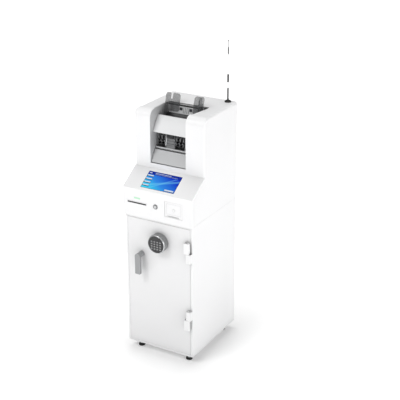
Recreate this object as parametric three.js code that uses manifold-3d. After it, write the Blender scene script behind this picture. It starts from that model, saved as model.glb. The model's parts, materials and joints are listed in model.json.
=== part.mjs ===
// A free-standing cash deposit machine: a steel safe on levelling feet, a sheet-metal housing on top of
// it, and a moulded front with a sloping touch-screen console and an open banknote counter in its head.
// Millimetres, +Z up, front towards -Y. The origin is at floor level under the centre of the whole box.
import * as THREE from 'three';
import { mergeVertices } from 'three/addons/utils/BufferGeometryUtils.js';
import Module from 'manifold-3d';

const wasm = await Module();
wasm.setup();

// ---- Driving dimensions ----------------------------------------------------------------------------
const GAP = 0.3; // between pieces that touch
const BITE = 20; // how far a cutting tool runs past the face it cuts

const WIDTH = 400;
const DEPTH = 470;
const FOOT_HEIGHT = 46;
const SAFE_HEIGHT = 750;
const HANDLE_REACH = 47.5; // how far the safe handle stands in front of the door

const SIDE = WIDTH / 2;
const FRONT = -(DEPTH + HANDLE_REACH) / 2 + HANDLE_REACH; // the safe's front plane
const BACK = FRONT + DEPTH;
const SEAM = FOOT_HEIGHT + SAFE_HEIGHT; // where the housing stands on the safe

// The moulded front, seen from the side: lower panel, sloping console, upright head, rounded top.
const FASCIA_LEAD = 10; // in front of the safe
const FASCIA_WING = 6; // beyond each side of the safe
const FASCIA_LIP = 12; // depth of its side lips
const FASCIA_SKIN = 3;
const FASCIA_WALL = 10; // thickness of the side lips
const PANEL_HEIGHT = 154;
const CONSOLE_RUN = 124;
const CONSOLE_RISE = 78;
const HEAD_TOP = SEAM + 538;
const HEAD_ROUND = 45;
const TOP_EDGE_ROUND = 14;

const PANEL_FRONT = FRONT - FASCIA_LEAD;
const PANEL_TOP = SEAM + PANEL_HEIGHT;
const HEAD_FRONT = PANEL_FRONT + CONSOLE_RUN;
const HEAD_FOOT = PANEL_TOP + CONSOLE_RISE;
const CONSOLE_ANGLE = Math.atan2(CONSOLE_RISE, CONSOLE_RUN);
const CONSOLE_LENGTH = Math.hypot(CONSOLE_RISE, CONSOLE_RUN);
const FASCIA_SIDE = SIDE + FASCIA_WING;

// The open bay in the head.
const BAY_LEFT = -113;
const BAY_RIGHT = 97;
const BAY_FLOOR = HEAD_FOOT + 26;
const BAY_BACK = HEAD_FRONT + 180; // rear edge of the opening in the top
const BAY_FLARE = 28; // how much wider the right side is at the rear edge
const BAY_MARGIN = 4; // how much wider the housing's opening is than the bay

const SHEET = 2.5;
const SAFE_WALL = 4;

// ---- Solids ----------------------------------------------------------------------------------------
function solidOf(geometry) {
  const bare = geometry.clone();
  bare.deleteAttribute('normal');
  bare.deleteAttribute('uv');
  const merged = mergeVertices(bare, 1e-4);
  return new wasm.Manifold(new wasm.Mesh({
    numProp: 3,
    vertProperties: new Float32Array(merged.attributes.position.array),
    triVerts: new Uint32Array(merged.index.array),
  }));
}

function geometryOf(solid) {
  const mesh = solid.getMesh();
  const geometry = new THREE.BufferGeometry();
  geometry.setAttribute('position', new THREE.BufferAttribute(new Float32Array(mesh.vertProperties), 3));
  geometry.setIndex(new THREE.BufferAttribute(new Uint32Array(mesh.triVerts), 1));
  return geometry;
}

const join = (...solids) => solids.reduce((sum, next) => sum.add(next));
const cut = (body, ...tools) => tools.reduce((rest, tool) => rest.subtract(tool), body);

// Extrusions carry an outline in a plane along the third axis, from the lower to the upper value.
const ALONG_X = new THREE.Matrix4().set(0, 0, 1, 0, 1, 0, 0, 0, 0, 1, 0, 0, 0, 0, 0, 1);
const ALONG_Y = new THREE.Matrix4().set(1, 0, 0, 0, 0, 0, -1, 0, 0, 1, 0, 0, 0, 0, 0, 1);

function extruded(shape, depth, curveSegments) {
  return new THREE.ExtrudeGeometry(shape, { depth, bevelEnabled: false, curveSegments, steps: 1 });
}

function shapeOf(outline) {
  if (outline instanceof THREE.Shape) return outline;
  return new THREE.Shape(outline.map(([a, b]) => new THREE.Vector2(a, b)));
}

function prismX(outline, x0, x1, segments = 6) { // outline in (y, z)
  const geometry = extruded(shapeOf(outline), x1 - x0, segments);
  return solidOf(geometry.applyMatrix4(ALONG_X).translate(x0, 0, 0));
}

function prismY(outline, y0, y1, segments = 6) { // outline in (x, z)
  const geometry = extruded(shapeOf(outline), y1 - y0, segments);
  return solidOf(geometry.applyMatrix4(ALONG_Y).translate(0, y1, 0));
}

function prismZ(outline, z0, z1, segments = 6) { // outline in (x, y)
  return solidOf(extruded(shapeOf(outline), z1 - z0, segments).translate(0, 0, z0));
}

function box([x0, x1], [y0, y1], [z0, z1]) {
  const geometry = new THREE.BoxGeometry(x1 - x0, y1 - y0, z1 - z0);
  return solidOf(geometry.translate((x0 + x1) / 2, (y0 + y1) / 2, (z0 + z1) / 2));
}

function rodX(y, z, radius, x0, x1, sides = 20) {
  const geometry = new THREE.CylinderGeometry(radius, radius, x1 - x0, sides).rotateZ(Math.PI / 2);
  return solidOf(geometry.translate((x0 + x1) / 2, y, z));
}

function rodY(x, z, radius, y0, y1, sides = 24) {
  const geometry = new THREE.CylinderGeometry(radius, radius, y1 - y0, sides);
  return solidOf(geometry.translate(x, (y0 + y1) / 2, z));
}

function rodZ(x, y, radius, z0, z1, sides = 20) {
  const geometry = new THREE.CylinderGeometry(radius, radius, z1 - z0, sides).rotateX(Math.PI / 2);
  return solidOf(geometry.translate(x, y, (z0 + z1) / 2));
}

// A rounded rectangle; radii run from the corner at (a0, b0) anticlockwise.
function roundedRect(a0, a1, b0, b1, radii) {
  const [r0, r1, r2, r3] = Array.isArray(radii) ? radii : [radii, radii, radii, radii];
  const shape = new THREE.Shape();
  shape.moveTo(a0 + r0, b0);
  shape.lineTo(a1 - r1, b0);
  if (r1 > 0) shape.absarc(a1 - r1, b0 + r1, r1, -Math.PI / 2, 0, false);
  shape.lineTo(a1, b1 - r2);
  if (r2 > 0) shape.absarc(a1 - r2, b1 - r2, r2, 0, Math.PI / 2, false);
  shape.lineTo(a0 + r3, b1);
  if (r3 > 0) shape.absarc(a0 + r3, b1 - r3, r3, Math.PI / 2, Math.PI, false);
  shape.lineTo(a0, b0 + r0);
  if (r0 > 0) shape.absarc(a0 + r0, b0 + r0, r0, Math.PI, 1.5 * Math.PI, false);
  return shape;
}

function arcPoints(a, b, radius, from, to, steps) {
  const points = [];
  for (let i = 0; i <= steps; i += 1) {
    const angle = from + ((to - from) * i) / steps;
    points.push([a + radius * Math.cos(angle), b + radius * Math.sin(angle)]);
  }
  return points;
}

// A path moved sideways, to its right-hand side, with mitred corners.
function offsetPath(path, distance) {
  const normals = path.slice(1).map(([a, b], i) => {
    const [da, db] = [a - path[i][0], b - path[i][1]];
    const length = Math.hypot(da, db);
    return [db / length, -da / length];
  });
  return path.map(([a, b], i) => {
    const before = normals[Math.max(i - 1, 0)];
    const after = normals[Math.min(i, normals.length - 1)];
    const sum = [before[0] + after[0], before[1] + after[1]];
    const scale = (2 * distance) / (sum[0] ** 2 + sum[1] ** 2);
    return [a + sum[0] * scale, b + sum[1] * scale];
  });
}

const band = (path, from, to) => [...offsetPath(path, from), ...offsetPath(path, to).reverse()];

// ---- The object as a list of named, coloured solids ---------------------------------------------------
const finishes = {
  white_paint: [0xf4f4f5, 0.42, 0.0],
  white_plastic: [0xf2f2f3, 0.38, 0.0],
  grey_plastic: [0xd3d4d6, 0.45, 0.0],
  pale_metal: [0xc4c6c9, 0.35, 0.6],
  grey_metal: [0x9b9da0, 0.4, 0.7],
  dark_plastic: [0x232427, 0.5, 0.0],
  black_rubber: [0x151515, 0.8, 0.0],
  smoke_plastic: [0x4c4f55, 0.2, 0.0],
  key_plastic: [0x8f9091, 0.5, 0.0],
  glass: [0x1b4fae, 0.08, 0.0],
  steel: [0xb7b9bb, 0.3, 0.9],
  board: [0x2c5a38, 0.6, 0.1],
};

const group = new THREE.Group();

function add(name, finish, solid) {
  const [color, roughness, metalness] = finishes[finish];
  const material = new THREE.MeshStandardMaterial({ color, roughness, metalness });
  const mesh = new THREE.Mesh(geometryOf(solid), material);
  mesh.name = name;
  group.add(mesh);
}

// ---- Safe ------------------------------------------------------------------------------------------
const FRAME = 12; // width of the rim round the door
const DOOR_GAP = 1;
const DOOR_THICKNESS = 6;
const CHUTE = { left: -108, right: 92, front: HEAD_FRONT + 5, back: HEAD_FRONT + 67, wall: 2 };
const NOTE_SLOT_INSET = 4; // from the chute's outer faces to the slot in the safe's roof

function safeShell() {
  const outer = box([-SIDE, SIDE], [FRONT, BACK], [FOOT_HEIGHT, SEAM]);
  const inside = box(
    [-SIDE + SAFE_WALL, SIDE - SAFE_WALL],
    [FRONT + SAFE_WALL, BACK - SAFE_WALL],
    [FOOT_HEIGHT + SAFE_WALL, SEAM - SAFE_WALL],
  );
  const doorway = box(
    [-SIDE + FRAME, SIDE - FRAME],
    [FRONT - BITE, FRONT + BITE],
    [FOOT_HEIGHT + FRAME, SEAM - FRAME],
  );
  const noteSlot = box(
    [CHUTE.left + NOTE_SLOT_INSET, CHUTE.right - NOTE_SLOT_INSET],
    [CHUTE.front + NOTE_SLOT_INSET, CHUTE.back - NOTE_SLOT_INSET],
    [SEAM - BITE, SEAM + BITE],
  );
  return cut(outer, inside, doorway, noteSlot);
}

function safeDoor() {
  const reach = SIDE - FRAME - DOOR_GAP;
  const plate = box(
    [-reach, reach],
    [FRONT, FRONT + DOOR_THICKNESS],
    [FOOT_HEIGHT + FRAME + DOOR_GAP, SEAM - FRAME - DOOR_GAP],
  );
  const spindleHole = rodY(HANDLE.x, HANDLE.z, HANDLE.shaft + 0.5, FRONT - BITE, FRONT + BITE);
  return cut(plate, spindleHole);
}

// Levelling foot: a round pad, a lock nut and a stud that ends against the safe's floor.
const FOOT = { x: 150, inset: 50, padRadius: 18, padHeight: 12, studRadius: 12, nutRadius: 15, nutHeight: 8 };

function foot(x, y) {
  const profile = [
    [0, 0],
    [FOOT.padRadius - 2, 0],
    [FOOT.padRadius, 3],
    [FOOT.padRadius, FOOT.padHeight - 3],
    [FOOT.studRadius, FOOT.padHeight],
    [FOOT.studRadius, FOOT_HEIGHT - FOOT.nutHeight],
    [FOOT.nutRadius, FOOT_HEIGHT - FOOT.nutHeight],
    [FOOT.nutRadius, FOOT_HEIGHT - GAP],
    [0, FOOT_HEIGHT - GAP],
  ].map(([r, z]) => new THREE.Vector2(r, z));
  return solidOf(new THREE.LatheGeometry(profile, 20).rotateX(Math.PI / 2).translate(x, y, 0));
}

// Hinges: a block on the body and one on the door, on one upright pin in front of the door's face.
const HINGE = {
  x: 182,
  forward: 11.5, // the pin's line, in front of the door
  reach: 10, // how far a block may pass the pin on the side that turns past its neighbour
  depth: 23,
  doorSide: 20, // how far the door's block reaches from the pin towards the door's middle
  front: 5, // radius of a block's free front corner
  leaf: 2, // thickness of the leaf that carries a block
  bodyHeight: 50,
  doorHeight: 60,
  pinRadius: 4,
};
const HINGE_Y = FRONT - HINGE.forward;
const UPPER_HINGE = SEAM - 142; // where the door's block meets the body's
const LOWER_HINGE = FOOT_HEIGHT + 228;

function hingeBlock(x0, x1, z0, z1, roundLeft) {
  const { front, reach } = HINGE;
  const radii = roundLeft ? [front, 0, 0, reach] : [0, front, reach, 0];
  return prismZ(roundedRect(x0, x1, FRONT - HINGE.depth, FRONT - 0.5, radii), z0, z1, 5);
}

function bodyHinge(z0, z1, pinFrom, pinTo) {
  const block = hingeBlock(HINGE.x - HINGE.reach, SIDE, z0, z1, true);
  const leaf = box([SIDE - FRAME + DOOR_GAP, SIDE], [FRONT - HINGE.leaf, FRONT - GAP], [z0, z1]);
  return join(block, leaf, rodZ(HINGE.x, HINGE_Y, HINGE.pinRadius, pinFrom, pinTo, 16));
}

function doorHinge(z0, z1) {
  const left = HINGE.x - HINGE.doorSide;
  const block = hingeBlock(left, HINGE.x + HINGE.reach, z0, z1, false);
  const leaf = box([left, HINGE.x + 3], [FRONT - HINGE.leaf, FRONT - GAP], [z0, z1]);
  const bore = rodZ(HINGE.x, HINGE_Y, HINGE.pinRadius + GAP, z0 - BITE, z1 + BITE, 16);
  return cut(join(block, leaf), bore);
}

// Safe handle: a round boss, a lever that hangs from it, and a shaft through the door to a crank.
const HANDLE = { x: -103, z: FOOT_HEIGHT + 542, boss: 15, width: 31, thick: 14, drop: 102, shaft: 8 };
const CRANK = { length: 64, half: 12, near: FRONT + 24, far: FRONT + 30 };

function safeHandle() {
  const tip = FRONT - HANDLE_REACH;
  const { x, z, width, thick, drop } = HANDLE;
  const leverOutline = roundedRect(x - width / 2, x + width / 2, z - drop, z + HANDLE.boss, [4, 4, 15, 15]);
  const lever = prismY(leverOutline, tip, tip + thick);
  const boss = rodY(x, z, HANDLE.boss, tip + 1, FRONT - GAP);
  const shaft = rodY(x, z, HANDLE.shaft, FRONT - 1, CRANK.far, 20);
  const crankOutline = roundedRect(x - CRANK.length, x + CRANK.half, z - CRANK.half, z + CRANK.half, 11);
  return join(lever, boss, shaft, prismY(crankOutline, CRANK.near, CRANK.far));
}

// Bolt work on the inside of the door: an upright bar with three round bolts towards the free edge.
const BOLT = {
  bar: [-172, -160],
  span: [FOOT_HEIGHT + 200, FOOT_HEIGHT + 700],
  heights: [250, 450, 650].map((z) => FOOT_HEIGHT + z),
  y: FRONT + 17,
  half: 5,
  radius: 7,
  tip: -SIDE + 15,
};

function boltBar() {
  const bar = box(BOLT.bar, [BOLT.y - BOLT.half, BOLT.y + BOLT.half], BOLT.span);
  const root = BOLT.bar[0] + 4;
  return join(bar, ...BOLT.heights.map((z) => rodX(BOLT.y, z, BOLT.radius, BOLT.tip, root, 16)));
}

// Round keypad of the safe lock: a drum on the door, a face plate set in it, and the keys.
const KEYPAD = { x: 7.5, z: FOOT_HEIGHT + 632, radius: 51, depth: 40, face: 46, columns: 4, rows: 4 };
const KEY = { pitchX: 17, pitchZ: 13.2, below: 6, width: 10.5, height: 7.4, proud: 1.4, length: 6.5 };

function keypadDrum() {
  const profile = [
    [0, GAP],
    [KEYPAD.radius, GAP],
    [KEYPAD.radius, KEYPAD.depth - 6],
    [KEYPAD.radius - 4, KEYPAD.depth],
    [KEYPAD.face, KEYPAD.depth],
    [KEYPAD.face, KEYPAD.depth - 9],
    [0, KEYPAD.depth - 9],
  ].map(([r, y]) => new THREE.Vector2(r, y));
  return solidOf(new THREE.LatheGeometry(profile, 40).rotateX(Math.PI).translate(KEYPAD.x, FRONT, KEYPAD.z));
}

function keyCentres() {
  const centres = [];
  for (let row = 0; row < KEYPAD.rows; row += 1) {
    for (let column = 0; column < KEYPAD.columns; column += 1) {
      const x = KEYPAD.x + (column - (KEYPAD.columns - 1) / 2) * KEY.pitchX;
      const z = KEYPAD.z - KEY.below + ((KEYPAD.rows - 1) / 2 - row) * KEY.pitchZ;
      centres.push([x, z]);
    }
  }
  return centres;
}

function keyOutline([x, z], grow) {
  const [a, b] = [KEY.width / 2 + grow, KEY.height / 2 + grow];
  return roundedRect(x - a, x + a, z - b, z + b, 2 + grow);
}

const FACE_FRONT = FRONT - KEYPAD.depth + 1;

function keypadFace() {
  const disc = rodY(KEYPAD.x, KEYPAD.z, KEYPAD.face - GAP, FACE_FRONT, FACE_FRONT + 3, 40);
  const [front, back] = [FACE_FRONT - BITE, FACE_FRONT + BITE];
  const windows = keyCentres().map((centre) => prismY(keyOutline(centre, 0.4), front, back, 2));
  return cut(disc, ...windows);
}

function keypadKey(centre) {
  return prismY(keyOutline(centre, 0), FACE_FRONT - KEY.proud, FACE_FRONT - KEY.proud + KEY.length, 2);
}

// Electronic lock case on the inside of the door, behind the keypad.
const LOCK_CASE = { halfWidth: 42, halfHeight: 33, corner: 4, depth: 28 };

function lockCase() {
  const y = FRONT + DOOR_THICKNESS;
  const { halfWidth, halfHeight, corner, depth } = LOCK_CASE;
  const [x0, x1] = [KEYPAD.x - halfWidth, KEYPAD.x + halfWidth];
  const outline = roundedRect(x0, x1, KEYPAD.z - halfHeight, KEYPAD.z + halfHeight, corner);
  return prismY(outline, y + GAP, y + depth, 3);
}

// Open-topped cash cassette on the safe's floor, under the note slot.
const CASSETTE = { halfWidth: 130, front: FRONT + 90, back: FRONT + 360, height: 600, wall: 2.5 };
const CASSETTE_GRIP = { halfWidth: 60, height: 30, below: 60 }; // finger slot under the front rim

function cashCassette() {
  const base = FOOT_HEIGHT + SAFE_WALL + GAP;
  const { halfWidth, front, back, height, wall } = CASSETTE;
  const outer = box([-halfWidth, halfWidth], [front, back], [base, base + height]);
  const hollow = box(
    [-halfWidth + wall, halfWidth - wall],
    [front + wall, back - wall],
    [base + wall, base + height + BITE],
  );
  const gripFoot = base + height - CASSETTE_GRIP.below;
  const grip = box(
    [-CASSETTE_GRIP.halfWidth, CASSETTE_GRIP.halfWidth],
    [front - BITE, front + BITE],
    [gripFoot, gripFoot + CASSETTE_GRIP.height],
  );
  return cut(outer, hollow, grip);
}

// ---- Housing ---------------------------------------------------------------------------------------
const slopeHeight = (y) => PANEL_TOP + (y - PANEL_FRONT) * Math.tan(CONSOLE_ANGLE);
const panelPath = [
  [PANEL_FRONT, SEAM + GAP],
  [PANEL_FRONT, PANEL_TOP],
  [HEAD_FRONT + BITE, slopeHeight(HEAD_FRONT + BITE)],
];
const headPath = [
  [HEAD_FRONT, HEAD_FOOT - BITE],
  ...arcPoints(HEAD_FRONT + HEAD_ROUND, HEAD_TOP - HEAD_ROUND, HEAD_ROUND, Math.PI, Math.PI / 2, 10),
  [HEAD_FRONT + HEAD_ROUND + 1, HEAD_TOP],
];

// Everything under a plane parallel to the console's slope, some millimetres below its surface.
function underSlope(depth) {
  const drop = depth / Math.cos(CONSOLE_ANGLE);
  const corner = (y) => [y, slopeHeight(y) - drop];
  const outline = [corner(FRONT - BITE), [FRONT - BITE, FOOT_HEIGHT], [BACK, FOOT_HEIGHT], corner(BACK)];
  return prismX(outline, -SIDE - BITE, SIDE + BITE);
}

// One folded sheet: both sides and the top. Its front edges follow the moulded front.
function housingShell() {
  const lip = FASCIA_LIP + GAP;
  const sidePath = offsetPath(panelPath, lip).slice(0, 2);
  const [roundY, roundZ] = [HEAD_FRONT + HEAD_ROUND, HEAD_TOP - HEAD_ROUND];
  const head = arcPoints(roundY, roundZ, HEAD_ROUND - lip, Math.PI, Math.PI / 2, 8);
  const kinkDrop = lip / Math.cos(CONSOLE_ANGLE);
  const kink = [HEAD_FRONT + lip, slopeHeight(HEAD_FRONT + lip) - kinkDrop];
  const topStart = roundY + 1 + GAP;
  const outline = [
    ...sidePath,
    kink,
    ...head,
    [topStart, head.at(-1)[1]],
    [topStart, HEAD_TOP],
    [BACK, HEAD_TOP],
    [BACK, SEAM + GAP],
  ];
  const block = prismX(outline, -SIDE, SIDE);
  const arch = roundedRect(-SIDE, SIDE, SEAM - BITE, HEAD_TOP, [0, 0, TOP_EDGE_ROUND, TOP_EDGE_ROUND]);
  const inner = TOP_EDGE_ROUND - SHEET;
  const inside = SIDE - SHEET;
  const hollow = roundedRect(-inside, inside, SEAM - 2 * BITE, HEAD_TOP - SHEET, [0, 0, inner, inner]);
  const bay = prismZ(bayOutline(BAY_MARGIN), HEAD_TOP - BITE, HEAD_TOP + BITE);
  const around = block.intersect(prismY(arch, FRONT - 2 * BITE, BACK + BITE));
  return cut(around, prismY(hollow, FRONT - 3 * BITE, BACK + 2 * BITE), bay);
}

// The bay in plan, grown by some millimetres: straight on the left, flared on the right.
function bayRightAt(y) {
  return BAY_RIGHT + (BAY_FLARE * Math.max(0, y - HEAD_FRONT)) / (BAY_BACK - HEAD_FRONT);
}

function bayOutline(grow) {
  const front = HEAD_FRONT - BITE;
  return [
    [BAY_LEFT - grow, front],
    [BAY_RIGHT + grow, front],
    [BAY_RIGHT + grow, HEAD_FRONT],
    [bayRightAt(BAY_BACK) + grow, BAY_BACK],
    [BAY_LEFT - grow, BAY_BACK],
  ];
}

function mouldedFront(path) {
  const lips = prismX(band(path, 0, FASCIA_LIP), -FASCIA_SIDE, FASCIA_SIDE);
  const inner = FASCIA_SIDE - FASCIA_WALL;
  const room = prismX(band(path, FASCIA_SKIN, FASCIA_LIP + 5), -inner, inner);
  return cut(lips, room);
}

// Head: two columns beside the bay, a sill under it, and the rounded top edge.
const HEAD_REACH = 100; // further back than any of the moulding
const HEAD_CORNER = 10;
const CONSOLE_CORNER = 4;

function headFascia() {
  const back = HEAD_FRONT + HEAD_REACH;
  const plan = roundedRect(-FASCIA_SIDE, FASCIA_SIDE, HEAD_FRONT, back, [HEAD_CORNER, HEAD_CORNER, 0, 0]);
  const corners = [0, 0, TOP_EDGE_ROUND, TOP_EDGE_ROUND];
  const elevation = roundedRect(-FASCIA_SIDE, FASCIA_SIDE, SEAM, HEAD_TOP, corners);
  const bay = box([BAY_LEFT, BAY_RIGHT], [HEAD_FRONT - BITE, back], [BAY_FLOOR, HEAD_TOP + BITE]);
  return mouldedFront(headPath)
    .intersect(prismZ(plan, SEAM, HEAD_TOP + BITE))
    .intersect(prismY(elevation, HEAD_FRONT - BITE, back + BITE))
    .subtract(underSlope(FASCIA_LIP))
    .subtract(bay);
}

// Things on the console slope are made flat and then tilted onto it.
function ontoConsole(solid) {
  const tilt = new THREE.Matrix4().makeRotationX(CONSOLE_ANGLE);
  const place = new THREE.Matrix4().makeTranslation(0, PANEL_FRONT, PANEL_TOP).multiply(tilt);
  return solidOf(geometryOf(solid).applyMatrix4(place));
}

const SCREEN = { x: -9, along: 71.5, width: 197, height: 108, radius: 2, glass: 2.2 };
const screenRect = (grow) => [
  SCREEN.x - SCREEN.width / 2 - grow,
  SCREEN.x + SCREEN.width / 2 + grow,
  SCREEN.along - SCREEN.height / 2 - grow,
  SCREEN.along + SCREEN.height / 2 + grow,
];

const SLIP_SLOT = { x: -121, z: SEAM + 77, width: 110, height: 5 };
const KEY_LOCK = { x: -10, z: SEAM + 77, radius: 13, plug: 8 };
const PRINTER = { x: 97, z: SEAM + 78, width: 105, height: 83 };

const printerRect = (grow) => [
  PRINTER.x - PRINTER.width / 2 - grow,
  PRINTER.x + PRINTER.width / 2 + grow,
  PRINTER.z - PRINTER.height / 2 - grow,
  PRINTER.z + PRINTER.height / 2 + grow,
];
const slotRect = (growX, growZ) => [
  SLIP_SLOT.x - SLIP_SLOT.width / 2 - growX,
  SLIP_SLOT.x + SLIP_SLOT.width / 2 + growX,
  SLIP_SLOT.z - SLIP_SLOT.height / 2 - growZ,
  SLIP_SLOT.z + SLIP_SLOT.height / 2 + growZ,
];

// Console: sloping top with the screen's window, upright panel with slot, key lock and printer.
function consoleFascia() {
  const corners = [CONSOLE_CORNER, CONSOLE_CORNER, 0, 0];
  const plan = roundedRect(-FASCIA_SIDE, FASCIA_SIDE, PANEL_FRONT, HEAD_FRONT - GAP, corners);
  const window = ontoConsole(prismZ(roundedRect(...screenRect(0.4), SCREEN.radius), -BITE, BITE, 3));
  const [y0, y1] = [PANEL_FRONT - BITE, PANEL_FRONT + BITE];
  const sillHalf = FASCIA_SIDE - CONSOLE_CORNER;
  const sillFoot = SEAM + GAP;
  const sill = box([-sillHalf, sillHalf], [PANEL_FRONT + 1, FRONT - GAP], [sillFoot, sillFoot + FASCIA_SKIN]);
  return mouldedFront(panelPath)
    .intersect(prismZ(plan, SEAM - BITE, HEAD_TOP))
    .add(sill)
    .subtract(window)
    .subtract(prismY(roundedRect(...printerRect(0.5), [0, 0, 3.5, 3.5]), y0, y1, 3))
    .subtract(prismY(roundedRect(...slotRect(5, 4), 3), y0, y1, 3))
    .subtract(rodY(KEY_LOCK.x, KEY_LOCK.z, KEY_LOCK.radius + GAP, y0, y1));
}

// ---- Console contents ------------------------------------------------------------------------------
function touchGlass() {
  return ontoConsole(prismZ(roundedRect(...screenRect(0), SCREEN.radius), -SCREEN.glass, 0, 3));
}

function displayModule() {
  const [x0, x1, s0, s1] = screenRect(3);
  return ontoConsole(box([x0, x1], [s0, s1], [-20, -FASCIA_SKIN - GAP]));
}

function slipSlotBezel() {
  const y = PANEL_FRONT;
  const frame = prismY(roundedRect(...slotRect(4.6, 3.6), 3), y - 1, y + 22, 3);
  return cut(frame, prismY(roundedRect(...slotRect(0, 0), 2), y - BITE, y + 2 * BITE, 3));
}

// Key lock: a barrel fixed in the panel and a plug that turns in it, with its cam behind the panel.
function lockBarrel() {
  const { x, z, radius } = KEY_LOCK;
  const ring = rodY(x, z, radius, PANEL_FRONT - 3, PANEL_FRONT + 26, 28);
  return cut(ring, rodY(x, z, KEY_LOCK.plug + GAP, PANEL_FRONT - BITE, PANEL_FRONT + 2 * BITE, 24));
}

function lockPlug() {
  const { x, z } = KEY_LOCK;
  const plug = rodY(x, z, KEY_LOCK.plug, PANEL_FRONT - 3.5, PANEL_FRONT + 32, 20);
  const keyway = box([x - 1, x + 1], [PANEL_FRONT - BITE, PANEL_FRONT + 6], [z - 5, z + 5]);
  const camHalf = 9;
  const camOutline = roundedRect(x - camHalf, x + camHalf, z - 34, z + camHalf, 8);
  const cam = prismY(camOutline, PANEL_FRONT + 28, PANEL_FRONT + 31, 4);
  return join(cut(plug, keyway), cam);
}

// Receipt printer: body behind the panel, a lift-up door flush with it, and the door's release button.
const PRINTER_DOOR = { thick: 4, recess: 1.5, button: 7, cornersAbove: 3, cornersBelow: 1 };
const PRINTER_SLIT = { left: 17, right: 22, above: 4, height: 5 }; // from the door's edges
const PRINTER_DEPTH = 78;

function printerBody() {
  const y0 = PANEL_FRONT + FASCIA_SKIN + 3.5;
  const [x0, x1, z0, z1] = printerRect(4);
  const body = box([x0, x1], [y0, y0 + PRINTER_DEPTH], [z0, z1]);
  const [wellX0, wellX1, wellZ0, wellZ1] = printerRect(-1);
  return cut(body, box([wellX0, wellX1], [y0 - BITE, y0 + PRINTER_DEPTH - 16], [wellZ0, wellZ1]));
}

function printerDoor() {
  const [x0, x1, z0, z1] = printerRect(0);
  const y0 = PANEL_FRONT + PRINTER_DOOR.recess;
  const { thick, cornersAbove, cornersBelow } = PRINTER_DOOR;
  const corners = [cornersBelow, cornersBelow, cornersAbove, cornersAbove];
  const plate = prismY(roundedRect(x0, x1, z0, z1 - 0.5, corners), y0, y0 + thick, 3);
  const slitFoot = z0 + PRINTER_SLIT.above;
  const slit = box(
    [x0 + PRINTER_SLIT.left, x1 - PRINTER_SLIT.right],
    [y0 - BITE, y0 + BITE],
    [slitFoot, slitFoot + PRINTER_SLIT.height],
  );
  const hole = rodY(PRINTER.x, PRINTER.z, PRINTER_DOOR.button + GAP, y0 - BITE, y0 + BITE, 24);
  return cut(plate, slit, hole);
}

function printerButton() {
  const y0 = PANEL_FRONT + PRINTER_DOOR.recess;
  return rodY(PRINTER.x, PRINTER.z, PRINTER_DOOR.button, y0 - 1.2, y0 + 4.5, 24);
}

// ---- Banknote counter ------------------------------------------------------------------------------
const WALL = 3;
const WALL_TOP = HEAD_TOP - SHEET - GAP;

// Bay walls: upright plates from the head's skin to behind the hopper, bored for the three shafts.
const PICKUP = { y: HEAD_FRONT + 128, z: SEAM + 450, radius: 16, shaft: 4 };
const FEED = { y: HEAD_FRONT + 92, z: SEAM + 436, radius: 14, shaft: 4 };
const IMPELLER = { y: HEAD_FRONT + 83, z: SEAM + 370, radius: 32, shaft: 5 };
const SHAFT_LEFT = BAY_LEFT - WALL - 8;
const SHAFT_RIGHT = BAY_RIGHT + BAY_FLARE + 4;

const WALL_FOOT = BAY_FLOOR - 24;

function bayWallOutline() {
  const front = HEAD_FRONT + FASCIA_SKIN + GAP;
  const radius = HEAD_ROUND - FASCIA_SKIN - GAP;
  return [
    [front, WALL_FOOT],
    ...arcPoints(HEAD_FRONT + HEAD_ROUND, HEAD_TOP - HEAD_ROUND, radius, Math.PI, Math.PI / 2, 6),
    [BAY_BACK, WALL_TOP],
    [BAY_BACK, WALL_FOOT],
  ];
}

function shaftBores(clearance) {
  return [PICKUP, FEED, IMPELLER].map(({ y, z, shaft }) => (
    rodX(y, z, shaft + clearance, SHAFT_LEFT - BITE, SHAFT_RIGHT + BITE, 16)
  ));
}

function counterWall(isRight) {
  const [near, far] = [BAY_RIGHT + 0.5, bayRightAt(BAY_BACK)];
  const outer = BAY_LEFT - WALL;
  const right = [[near, HEAD_FRONT], [near + WALL, HEAD_FRONT], [far + WALL, BAY_BACK], [far, BAY_BACK]];
  const left = [[outer, HEAD_FRONT], [BAY_LEFT, HEAD_FRONT], [BAY_LEFT, BAY_BACK], [outer, BAY_BACK]];
  const plan = prismZ(isRight ? right : left, SEAM, HEAD_TOP);
  const plate = prismX(bayWallOutline(), -SIDE, SIDE).intersect(plan);
  return cut(plate, ...shaftBores(GAP));
}

// Curved cover over the stacker, from its lower lip to the rounded nose in front of the hopper.
// Its points are (behind the head's front, above the seam).
const HOOD = { lip: [27, 418], low: [38, 442], high: [54, 470], crown: [80, 494], thick: 3 };
const HOOD_NOSE = { centre: [84, 488], radius: 7.2, from: 2.17, drop: 12 };
const PLATE_LEFT = BAY_LEFT + 1.5;
const PLATE_RIGHT = BAY_RIGHT - 1;

function stackerHood() {
  const at = ([behind, above]) => [HEAD_FRONT + behind, SEAM + above];
  const controls = [HOOD.lip, HOOD.low, HOOD.high, HOOD.crown].map((point) => new THREE.Vector2(...at(point)));
  const front = new THREE.CubicBezierCurve(...controls).getPoints(8).map(({ x, y }) => [x, y]);
  const centre = at(HOOD_NOSE.centre);
  const nose = arcPoints(...centre, HOOD_NOSE.radius, HOOD_NOSE.from, 0, 5);
  const path = [...front, ...nose.slice(1), [nose.at(-1)[0], centre[1] - HOOD_NOSE.drop]];
  return prismX(band(path, 0, HOOD.thick), PLATE_LEFT, PLATE_RIGHT);
}

// Hopper: a leaning back plate that bends into a short floor, notched for the pick-up rollers.
const LEAN = THREE.MathUtils.degToRad(17);
const HOPPER = { y: HEAD_FRONT + 163, z: SEAM + 488 }; // foot of the leaning plate
const FLOOR_SLOPE = THREE.MathUtils.degToRad(14);
const FLOOR_LENGTH = 44;
const ROLLER_SEGMENTS = [-48, -8, 32];
const ROLLER_WIDTH = 16;
const PLATE_THICK = 2.5;

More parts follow.
